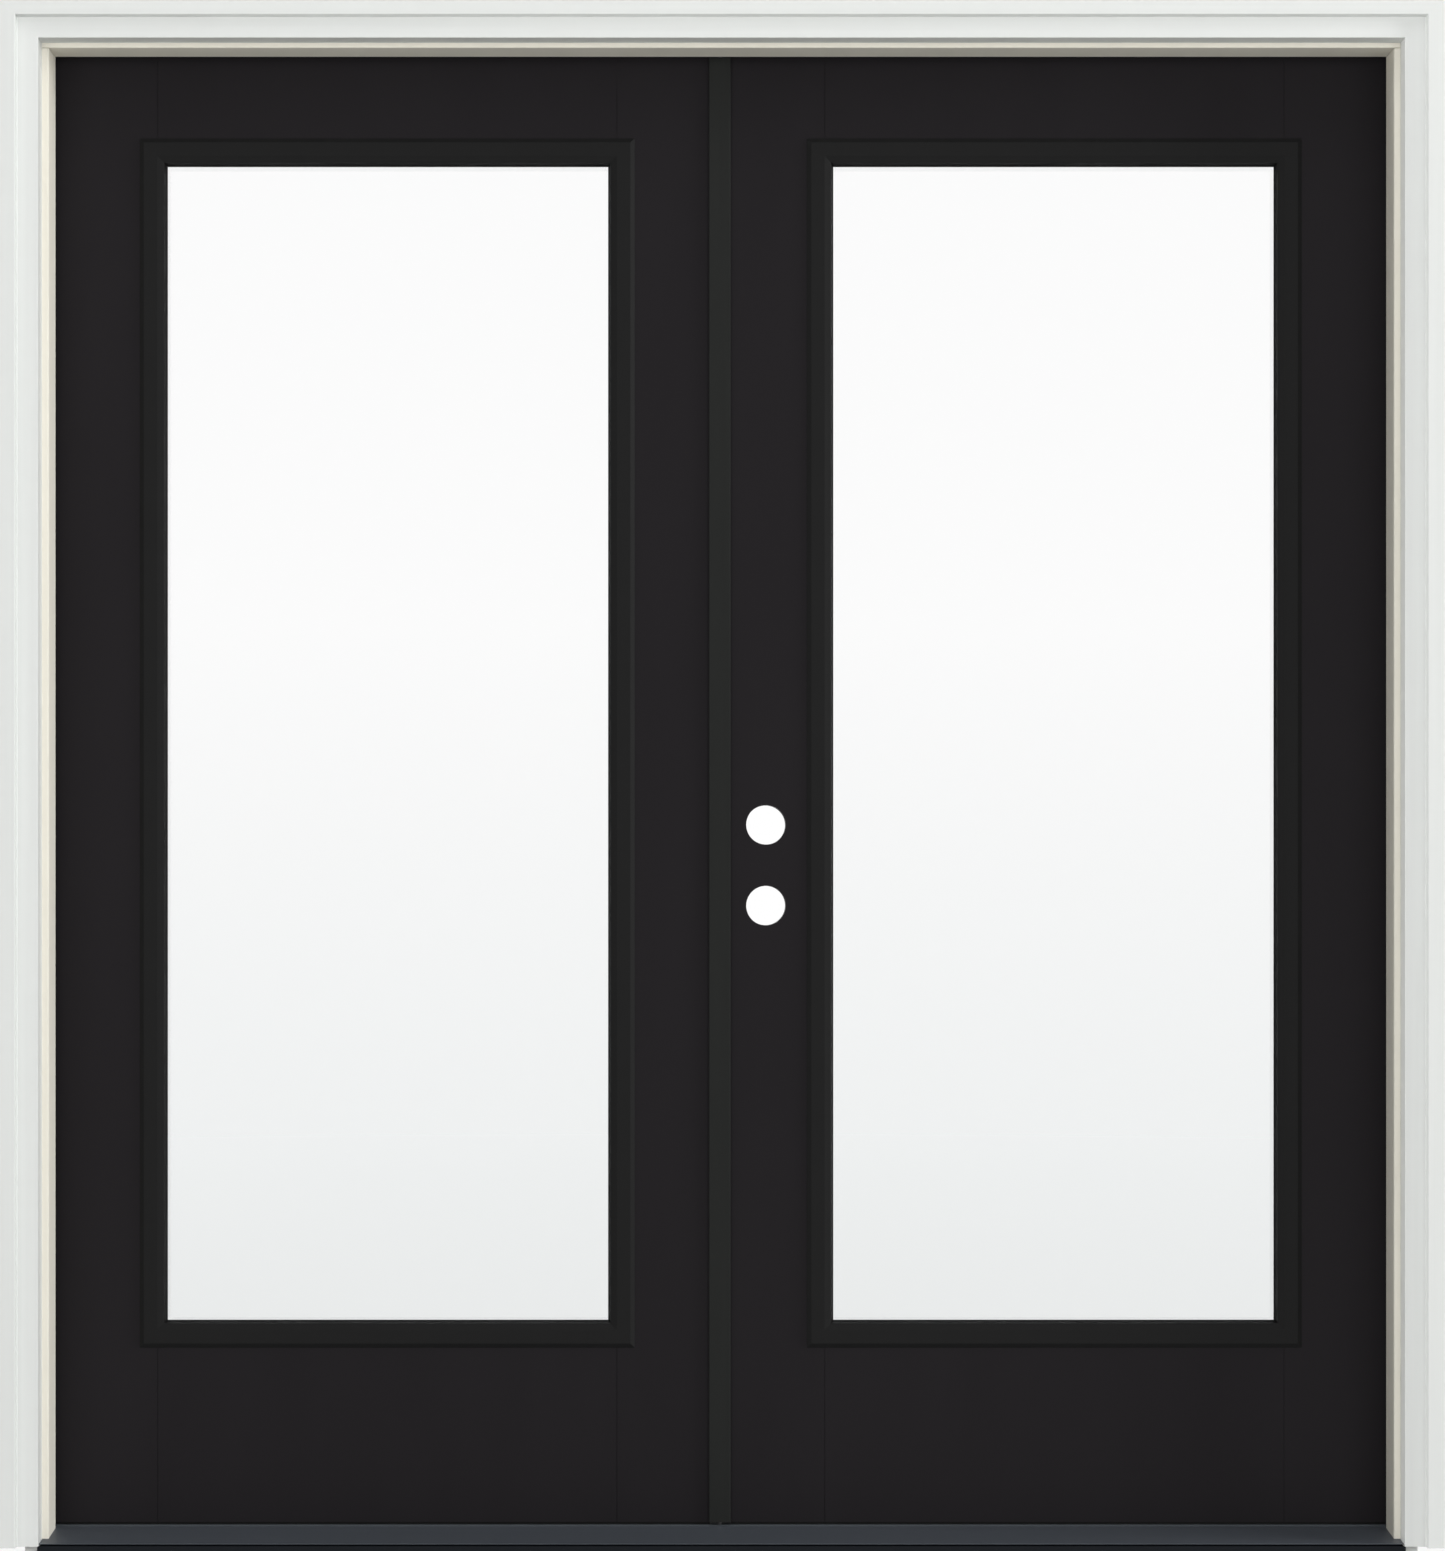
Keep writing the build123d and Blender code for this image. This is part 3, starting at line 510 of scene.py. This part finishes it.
@dataclass
class Bench:
    """Hand tools for one piece: each picks faces or edges by place, works on them and lets go."""

    piece: bpy.types.Object

    @classmethod
    def block(cls, name: str, low: Vector, high: Vector) -> "Bench":
        """Start a piece from a block between two corners.

        Args:
            name: The piece's name.
            low: Its lowest corner.
            high: Its highest corner.

        Returns:
            A bench with the block on it.
        """
        bpy.ops.object.select_all(action="DESELECT")
        bpy.ops.mesh.primitive_cube_add(size=1.0, location=(low + high) / 2, scale=high - low)
        return cls(bpy.context.object).settle(name)

    @classmethod
    def sheet(cls, name: str, low: Vector, high: Vector) -> "Bench":
        """Start a piece from an upright sheet that faces outside, between two corners.

        Args:
            name: The piece's name.
            low: Its lowest corner.
            high: Its highest corner, at the same depth.

        Returns:
            A bench with the sheet on it.
        """
        bpy.ops.object.select_all(action="DESELECT")
        bpy.ops.mesh.primitive_plane_add(
            size=1.0,
            location=(low + high) / 2,
            rotation=(math.pi / 2, 0.0, 0.0),
        )
        bpy.context.object.scale = (high.x - low.x, high.z - low.z, 1.0)
        return cls(bpy.context.object).settle(name)

    @classmethod
    def disc(cls, name: str, place: Vector, radius: float, height: float, sides: int) -> "Bench":
        """Start a piece from a round slug whose axis runs from outside to inside.

        Args:
            name: The piece's name.
            place: The middle of the slug.
            radius: Its radius.
            height: Its length along the axis.
            sides: How many sides stand for the circle.

        Returns:
            A bench with the slug on it.
        """
        bpy.ops.object.select_all(action="DESELECT")
        bpy.ops.mesh.primitive_cylinder_add(
            vertices=sides,
            radius=radius,
            depth=height,
            location=place,
            rotation=(math.pi / 2, 0.0, 0.0),
        )
        return cls(bpy.context.object).settle(name)

    def settle(self, name: str) -> "Bench":
        """Name the piece and move its place into its mesh.

        Args:
            name: The piece's name.

        Returns:
            The same bench.
        """
        self.piece.name = name
        self.piece.data.name = name
        bpy.ops.object.transform_apply(location=True, rotation=True, scale=True)
        return self

    def pick(self, test: Callable[[Vector, Vector], bool], edges: bool = False) -> None:
        """Enter edit mode with some faces or edges picked.

        Args:
            test: Says yes or no to a face's middle and normal, or to an edge's middle and way.
            edges: Whether edges are picked instead of faces.
        """
        mesh = self.piece.data
        spots = [vertex.co for vertex in mesh.vertices]
        for vertex in mesh.vertices:
            vertex.select = False
        for edge in mesh.edges:
            start, end = (spots[index] for index in edge.vertices)
            edge.select = edges and test((start + end) / 2, (end - start).normalized())
        for face in mesh.polygons:
            face.select = not edges and test(face.center, face.normal)
        bpy.context.tool_settings.mesh_select_mode = (False, edges, not edges)
        bpy.ops.object.mode_set(mode="EDIT")

    def draw_out(self, test: Callable[[Vector, Vector], bool], way: Vector) -> None:
        """Extrude the picked faces.

        Args:
            test: Picks the faces.
            way: How far and where to.
        """
        self.pick(test)
        bpy.ops.mesh.extrude_region_move(TRANSFORM_OT_translate={"value": way})
        bpy.ops.object.mode_set(mode="OBJECT")

    def round_off(self, test: Callable[[Vector, Vector], bool], radius: float, steps: int) -> None:
        """Round the picked edges.

        Args:
            test: Picks the edges.
            radius: The rounding's radius.
            steps: How many facets it has.
        """
        self.pick(test, edges=True)
        bpy.ops.mesh.bevel(offset=radius, segments=steps, profile=0.5, affect="EDGES")
        bpy.ops.object.mode_set(mode="OBJECT")

    def score(self, place: Vector, normal: Vector) -> None:
        """Cut a line all round the piece along a plane.

        Args:
            place: A point of the plane.
            normal: The plane's normal.
        """
        self.pick(lambda middle, way: True)
        bpy.ops.mesh.bisect(plane_co=place, plane_no=normal)
        bpy.ops.object.mode_set(mode="OBJECT")

    def open_ring(self, border: float, depth: float) -> None:
        """Turn a sheet into a ring of square section by cutting out its middle.

        Args:
            border: The ring's width.
            depth: How far it comes towards the outside, or to the inside if negative.
        """
        self.pick(lambda middle, way: True)
        bpy.ops.mesh.inset(thickness=border, depth=0.0)
        bpy.ops.mesh.delete(type="FACE")
        bpy.ops.mesh.select_all(action="SELECT")
        bpy.ops.mesh.extrude_region_move(TRANSFORM_OT_translate={"value": (0.0, -depth, 0.0)})
        bpy.ops.object.mode_set(mode="OBJECT")

    def finish(self) -> bpy.types.Object:
        """Turn the faces outwards, smooth what is rounded and hand the piece over.

        Returns:
            The finished piece.
        """
        self.pick(lambda middle, way: True)
        bpy.ops.mesh.remove_doubles(threshold=WELD)
        bpy.ops.mesh.normals_make_consistent(inside=False)
        bpy.ops.object.mode_set(mode="OBJECT")
        bpy.ops.object.shade_smooth_by_angle(angle=SHARP_ANGLE)
        return self.piece


@dataclass
class Fitter:
    """Puts finished pieces on their bodies, in the finish of their slots."""

    wardrobe: Wardrobe

    def fit(self, piece: bpy.types.Object, body: str, slot: str, *nodes: str) -> None:
        """Dress a piece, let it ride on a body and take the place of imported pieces.

        Args:
            piece: The finished piece.
            body: The body that it moves with.
            slot: The material slot of the record.
            nodes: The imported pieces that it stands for.
        """
        self.wardrobe.dress(piece, slot)
        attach(piece, body)
        if nodes:
            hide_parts(*nodes)
        LOG.info("%s rides on %s, %d faces", piece.name, body, len(piece.data.polygons))


@dataclass
class FrameSeals:
    """Foam strips in the rabbets of the frame, and the pads that close its lower corners."""

    barb_reach: float = 8.9 * MILLIMETRE
    barb_start: float = 4.1 * MILLIMETRE
    barb_width: float = 2.8 * MILLIMETRE
    crown: float = 5.5 * MILLIMETRE
    heel: float = 2.2 * MILLIMETRE
    pinch_start: float = 3.2 * MILLIMETRE
    pinch_width: float = 1.3 * MILLIMETRE
    pinch_depth: float = 1.8 * MILLIMETRE
    round_steps: int = 6
    pad_thickness: float = 2.4 * MILLIMETRE
    pad_round: float = 0.9 * MILLIMETRE
    pad_steps: int = 4

    def strip(self, name: str, node: str, inwards: Vector) -> bpy.types.Object:
        """Model one strip: a crowned foam bulb, pinched at its root, on a barb in the kerf.

        Args:
            name: The piece's name.
            node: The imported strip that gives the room.
            inwards: The way from the rabbet to the open side.

        Returns:
            The finished strip.
        """
        low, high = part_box(node)
        low.y += self.barb_reach
        far, near = sorted((low.dot(inwards), high.dot(inwards)))
        bench = Bench.block(name, low, high)
        for side, radius in ((near, self.crown), (far, self.heel)):
            bench.round_off(
                lambda middle, way, side=side: abs(middle.dot(inwards) - side) < TOUCH
                and abs(middle.y - high.y) < TOUCH,
                radius,
                self.round_steps,
            )
        root = low.y + self.pinch_start
        for depth in (root, root + self.pinch_width):
            bench.score(Vector((0.0, depth, 0.0)), Vector((0.0, 1.0, 0.0)))
        bench.draw_out(
            lambda middle, way: way.dot(inwards) > FACING
            and root < middle.y < root + self.pinch_width,
            inwards * -self.pinch_depth,
        )
        start = far + self.barb_start
        for across in (start, start + self.barb_width):
            bench.score(inwards * across, inwards)
        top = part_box("head_jamb")[0].z
        if low.z < top:
            bench.score(Vector((0.0, 0.0, top)), Vector((0.0, 0.0, 1.0)))
        bench.draw_out(
            lambda middle, way: way.y < -FACING
            and abs(middle.y - low.y) < TOUCH
            and start < middle.dot(inwards) < start + self.barb_width
            and (low.z > top or middle.z < top),
            Vector((0.0, -self.barb_reach, 0.0)),
        )
        return bench.finish()

    def pad(self, name: str, low: Vector, high: Vector) -> bpy.types.Object:
        """Model one corner pad: a small cushion of foam with soft edges.

        Args:
            name: The piece's name.
            low: Its lowest corner.
            high: Its highest corner.

        Returns:
            The finished pad.
        """
        bench = Bench.block(name, low, high)
        bench.round_off(lambda middle, way: True, self.pad_round, self.pad_steps)
        return bench.finish()

    def build(self, fitter: Fitter) -> None:
        """Model and fit all seals of the frame.

        Args:
            fitter: Fits the finished pieces.
        """
        ways = {"left": Vector((1, 0, 0)), "right": Vector((-1, 0, 0)), "head": Vector((0, 0, -1))}
        for side, inwards in ways.items():
            strip = self.strip(f"{side}_foam_strip", f"{side}_weatherstrip", inwards)
            fitter.fit(strip, "frame", "black_seal", f"{side}_weatherstrip")
        low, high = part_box("corner_pads")
        inner = Vector((low.x + self.pad_thickness, high.y, high.z))
        left = self.pad("left_corner_pad", low, inner)
        inner = Vector((high.x - self.pad_thickness, low.y, low.z))
        right = self.pad("right_corner_pad", inner, high)
        for pad in (left, right):
            fitter.fit(pad, "frame", "black_seal", "corner_pads")


@dataclass
class LeafSeals:
    """The finned sweep under each leaf and the beads that bed its panes."""

    plate: float = 1.2 * MILLIMETRE
    fins: int = 5
    fin_width: float = 2.4 * MILLIMETRE
    barb_reach: float = 8.9 * MILLIMETRE
    half_barb: float = 1.4 * MILLIMETRE
    outer_face: float = 35.5 * MILLIMETRE
    inner_face: float = 29.5 * MILLIMETRE
    bead_width: float = 0.9 * MILLIMETRE
    bead_depth: float = 2.4 * MILLIMETRE
    bead_round: float = 0.72 * MILLIMETRE
    bead_steps: int = 4

    def sweep(self, leaf: str) -> bpy.types.Object:
        """Model one sweep: a plate with fins that brush the sill, on a barb in the leaf's kerf.

        Args:
            leaf: The leaf's name.

        Returns:
            The finished sweep.
        """
        low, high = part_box(f"{leaf}_sweep")
        top = high.z - self.barb_reach
        bottom = top - self.plate
        bench = Bench.block(
            f"{leaf}_finned_sweep",
            Vector((low.x, low.y, bottom)),
            Vector((high.x, high.y, top)),
        )
        pitch = (high.y - low.y - self.fin_width) / (self.fins - 1)
        starts = [low.y + pitch * index for index in range(self.fins)]
        middle_y = (low.y + high.y) / 2
        lines = [y for start in starts for y in (start, start + self.fin_width)]
        lines += [middle_y - self.half_barb, middle_y + self.half_barb]
        for y in sorted(lines)[1:-1]:
            bench.score(Vector((0.0, y, 0.0)), Vector((0.0, 1.0, 0.0)))
        bench.draw_out(
            lambda middle, way: way.z < -FACING
            and any(start < middle.y < start + self.fin_width for start in starts),
            Vector((0.0, 0.0, low.z - bottom)),
        )
        bench.draw_out(
            lambda middle, way: way.z > FACING
            and abs(middle.z - top) < TOUCH
            and abs(middle.y - middle_y) < self.half_barb,
            Vector((0.0, 0.0, self.barb_reach)),
        )
        return bench.finish()

    def bead(self, leaf: str, face: str, pane: str) -> bpy.types.Object:
        """Model the bead of sealant between a pane and the lite frame that clamps it.

        Args:
            leaf: The leaf's name.
            face: The lite frame's side, exterior or interior.
            pane: The pane's place, outer or inner.

        Returns:
            The finished bead.
        """
        low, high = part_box(f"{leaf}_{face}_lite_frame")
        glass_low, glass_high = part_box(f"{leaf}_{pane}_pane")
        outside = face == "exterior"
        depth = glass_low.y if outside else glass_high.y
        outwards = 1.0 if outside else -1.0
        inset = self.outer_face if outside else self.inner_face
        bench = Bench.sheet(
            f"{leaf}_{face}_glazing_bead",
            Vector((low.x + inset, depth, low.z + inset)),
            Vector((high.x - inset, depth, high.z - inset)),
        )
        bench.open_ring(self.bead_width, self.bead_depth * outwards)
        edge = Vector((low.x + inset + self.bead_width, 0.0, low.z + inset + self.bead_width))
        far = Vector((high.x - inset - self.bead_width, 0.0, high.z - inset - self.bead_width))
        front = depth - self.bead_depth * outwards
        bench.round_off(
            lambda middle, way: abs(middle.y - front) < TOUCH
            and edge.x - TOUCH < middle.x < far.x + TOUCH
            and edge.z - TOUCH < middle.z < far.z + TOUCH,
            self.bead_round,
            self.bead_steps,
        )
        return bench.finish()

    def build(self, fitter: Fitter) -> None:
        """Model and fit the seals of both leaves.

        Args:
            fitter: Fits the finished pieces.
        """
        for leaf in ("active", "passive"):
            fitter.fit(self.sweep(leaf), f"{leaf}_leaf", "black_seal", f"{leaf}_sweep")
            for face, pane in (("exterior", "outer"), ("interior", "inner")):
                fitter.fit(self.bead(leaf, face, pane), f"{leaf}_leaf", "black_seal")


@dataclass
class LitePlugs:
    """Round plugs that hide the screws of each inner lite frame."""

    radius: float = 3.4 * MILLIMETRE
    depth: float = 0.9 * MILLIMETRE
    crown: float = 0.7 * MILLIMETRE
    crown_round: float = 0.63 * MILLIMETRE
    crown_steps: int = 3
    dish_share: float = 0.35
    sides: int = 28
    inset: float = 19.5 * MILLIMETRE
    side_shares: tuple[float, ...] = (0.07, 0.24, 0.41, 0.59, 0.76, 0.93)
    end_shares: tuple[float, ...] = (0.2, 0.5, 0.8)

    def places(self, leaf: str) -> list[Vector]:
        """Find the screw holes of one inner lite frame.

        Args:
            leaf: The leaf's name.

        Returns:
            The middle of each hole, on the frame's inner face.
        """
        low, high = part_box(f"{leaf}_interior_lite_frame")
        height, width = high.z - low.z, high.x - low.x
        found = [
            Vector((x, high.y, low.z + height * share))
            for x in (low.x + self.inset, high.x - self.inset)
            for share in self.side_shares
        ]
        found += [
            Vector((low.x + width * share, high.y, z))
            for z in (low.z + self.inset, high.z - self.inset)
            for share in self.end_shares
        ]
        return found

    def plug(self) -> bpy.types.Object:
        """Model one plug at the origin: a slug with a crowned, dished top.

        Returns:
            The finished plug.
        """
        height = self.depth + self.crown
        middle = Vector((0.0, self.crown - height / 2, 0.0))
        bench = Bench.disc("lite_plug", middle, self.radius, height, self.sides)
        bench.round_off(
            lambda spot, way: abs(spot.y - self.crown) < TOUCH and abs(way.y) < 1 - FACING,
            self.crown_round,
            self.crown_steps,
        )
        bench.pick(lambda spot, way: way.y > FLAT)
        bpy.ops.mesh.inset(
            thickness=self.radius * self.dish_share,
            depth=-self.crown * self.dish_share,
        )
        bpy.ops.object.mode_set(mode="OBJECT")
        return bench.finish()

    def build(self, fitter: Fitter) -> None:
        """Model the plug once and fit copies of it to both leaves.

        Args:
            fitter: Fits the finished pieces.
        """
        model = self.plug()
        for leaf in ("active", "passive"):
            bpy.ops.object.select_all(action="DESELECT")
            for place in self.places(leaf):
                copy = model.copy()
                copy.data = model.data.copy()
                bpy.context.scene.collection.objects.link(copy)
                copy.data.transform(Matrix.Translation(place))
                copy.select_set(True)
                bpy.context.view_layer.objects.active = copy
            bpy.ops.object.join()
            plugs = bpy.context.object
            plugs.name = plugs.data.name = f"{leaf}_lite_plugs"
            fitter.fit(plugs, f"{leaf}_leaf", "lite_frame")
        bpy.data.objects.remove(model)


@dataclass
class AstragalLip:
    """The flexible lip of the astragal that laps onto the active leaf."""

    edge_round: float = 1.2 * MILLIMETRE
    edge_steps: int = 4
    rim: float = 3.0 * MILLIMETRE
    hollow: float = 2.6 * MILLIMETRE

    def build(self, fitter: Fitter) -> None:
        """Model the lip: a soft-edged strip, hollowed behind so that its rim can press.

        Args:
            fitter: Fits the finished piece.
        """
        low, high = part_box("astragal_lip")
        bench = Bench.block("astragal_soft_lip", low, high)
        bench.round_off(
            lambda middle, way: abs(middle.x - high.x) < TOUCH and abs(way.z) > FACING,
            self.edge_round,
            self.edge_steps,
        )
        left, right = low.x + self.rim, high.x - self.rim
        for x in (left, right):
            bench.score(Vector((x, 0.0, 0.0)), Vector((1.0, 0.0, 0.0)))
        bench.draw_out(
            lambda middle, way: way.y > FACING and left < middle.x < right,
            Vector((0.0, -self.hollow, 0.0)),
        )
        fitter.fit(bench.finish(), "passive_leaf", "astragal_lip", "astragal_lip")


@dataclass(frozen=True)
class Lamp:
    """A softbox: its name, place, width and height, power in watts and whether gloss mirrors it."""

    name: str
    place: Triple
    size: tuple[float, float]
    power: float
    mirrored: bool = False


@dataclass
class Studio:
    """A white room: a pale floor, softboxes in front, at the side and behind, and the camera."""

    floor_size: float = 40.0
    floor_colour: str = "#d4d4d2"
    floor_reach: tuple[float, float] = (2.0, 9.0)
    floor_share: tuple[float, float] = (0.88, 1.0)
    ambient: float = 0.26
    seen: float = 1.0
    lamp_target: Triple = (0.0, 0.0, 1.1)
    lamps: tuple[Lamp, ...] = (
        Lamp("side_softbox", (11.3, -3.0, 3.4), (3.0, 3.0), 735.0, mirrored=True),
        Lamp("left_softbox", (-4.7, -9.5, 2.1), (3.4, 3.4), 160.0),
        Lamp("right_softbox", (4.7, -9.5, 2.1), (3.4, 3.4), 160.0),
        Lamp("front_softbox", (0.0, -9.5, 1.8), (2.6, 2.6), 185.0),
        Lamp("edge_strip", (-6.0, -0.215, 1.05), (0.03, 2.2), 155.0, mirrored=True),
        Lamp("top_softbox", (0.5, -3.2, 6.2), (2.6, 2.6), 60.0),
        Lamp("back_left_softbox", (-4.6, 8.5, 3.6), (3.2, 3.2), 315.0),
        Lamp("back_right_softbox", (4.6, 8.5, 3.2), (3.2, 3.2), 225.0),
    )
    lens: float = 92.47
    camera_place: Triple = (-0.05, -5.409, 0.897)
    shift: tuple[float, float] = (0.0248, 0.071)

    def seen_rays(self, tree: bpy.types.NodeTree) -> bpy.types.NodeSocket:
        """Add the test for rays that look at the background.

        Args:
            tree: The node tree of the world or of a stage material.

        Returns:
            A socket that is 1 for camera, glossy and transmitted rays.
        """
        path = add_node(tree, "ShaderNodeLightPath")
        direct = add_node(
            tree,
            "ShaderNodeMath",
            settings={"operation": "MAXIMUM"},
            links={0: path.outputs["Is Camera Ray"], 1: path.outputs["Is Glossy Ray"]},
        )
        through = add_node(
            tree,
            "ShaderNodeMath",
            settings={"operation": "MAXIMUM"},
            links={0: direct.outputs[0], 1: path.outputs["Is Transmission Ray"]},
        )
        return through.outputs[0]

    def light_world(self) -> None:
        """Light the room evenly and show it white."""
        world = bpy.data.worlds.new("white_studio")
        world.use_nodes = True
        tree = world.node_tree
        tree.nodes.clear()
        light = add_node(tree, "ShaderNodeBackground", values={"Strength": self.ambient})
        shown = add_node(tree, "ShaderNodeBackground", values={"Strength": self.seen})
        for shader in (light, shown):
            shader.inputs["Color"].default_value = linear("#ffffff")
        mixed = add_node(
            tree,
            "ShaderNodeMixShader",
            links={0: self.seen_rays(tree), 1: light.outputs[0], 2: shown.outputs[0]},
        )
        add_node(tree, "ShaderNodeOutputWorld", links={"Surface": mixed.outputs[0]})
        bpy.context.scene.world = world

    def lay_floor(self) -> None:
        """Lay the pale floor that the sill stands on."""
        bpy.ops.object.select_all(action="DESELECT")
        bpy.ops.mesh.primitive_plane_add(size=self.floor_size)
        floor = bpy.context.object
        floor.name = "studio_floor"
        material = bpy.data.materials.new("pale_studio_floor")
        material.use_nodes = True
        tree = material.node_tree
        tree.nodes.clear()
        matt = add_node(tree, "ShaderNodeBsdfDiffuse", values={"Color": linear(self.floor_colour)})
        white = add_node(tree, "ShaderNodeEmission", values={"Color": linear("#ffffff")})
        place = add_node(tree, "ShaderNodeTexCoord")
        distance = add_node(
            tree,
            "ShaderNodeVectorMath",
            settings={"operation": "LENGTH"},
            links={0: place.outputs["Object"]},
        )
        fade = add_node(
            tree,
            "ShaderNodeMapRange",
            values={
                "From Min": self.floor_reach[0],
                "From Max": self.floor_reach[1],
                "To Min": self.floor_share[0],
                "To Max": self.floor_share[1],
            },
            links={"Value": distance.outputs["Value"]},
        )
        share = add_node(
            tree,
            "ShaderNodeMath",
            settings={"operation": "MULTIPLY"},
            links={0: self.seen_rays(tree), 1: fade.outputs["Result"]},
        )
        mixed = add_node(
            tree,
            "ShaderNodeMixShader",
            links={0: share.outputs[0], 1: matt.outputs[0], 2: white.outputs[0]},
        )
        add_node(tree, "ShaderNodeOutputMaterial", links={"Surface": mixed.outputs[0]})
        floor.data.materials.append(material)

    def hang_lamps(self) -> None:
        """Hang the softboxes and turn them to the doors."""
        for lamp in self.lamps:
            bpy.ops.object.select_all(action="DESELECT")
            bpy.ops.object.light_add(type="AREA", location=lamp.place)
            light = bpy.context.object
            light.name = lamp.name
            light.data.shape = "RECTANGLE"
            light.data.size, light.data.size_y = lamp.size
            light.data.energy = lamp.power
            light.visible_glossy = light.visible_transmission = lamp.mirrored
            aim = Vector(self.lamp_target) - Vector(lamp.place)
            light.rotation_euler = aim.to_track_quat("-Z", "Y").to_euler()

    def set_camera(self) -> None:
        """Stand the camera where the photograph was taken from."""
        bpy.ops.object.select_all(action="DESELECT")
        bpy.ops.object.camera_add(location=self.camera_place, rotation=(math.pi / 2, 0.0, 0.0))
        camera = bpy.context.object
        camera.name = "portrait_camera"
        camera.data.lens = self.lens
        camera.data.shift_x, camera.data.shift_y = self.shift
        bpy.context.scene.camera = camera

    def build(self) -> None:
        """Set up the whole room."""
        bpy.context.scene.view_settings.view_transform = "Standard"
        self.light_world()
        self.lay_floor()
        self.hang_lamps()
        self.set_camera()


def main() -> None:
    """Load the frame, dress it and set up the studio."""
    logging.basicConfig(level=logging.INFO, format="%(name)s: %(message)s")
    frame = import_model()
    wardrobe = Wardrobe()
    wardrobe.dress_frame(frame)
    LOG.info("dressed %d packed pieces", len(frame["nodes"]))
    fitter = Fitter(wardrobe)
    for assembly in (FrameSeals(), LeafSeals(), LitePlugs(), AstragalLip()):
        assembly.build(fitter)
    Studio().build()


if __name__ == "__main__":
    main()
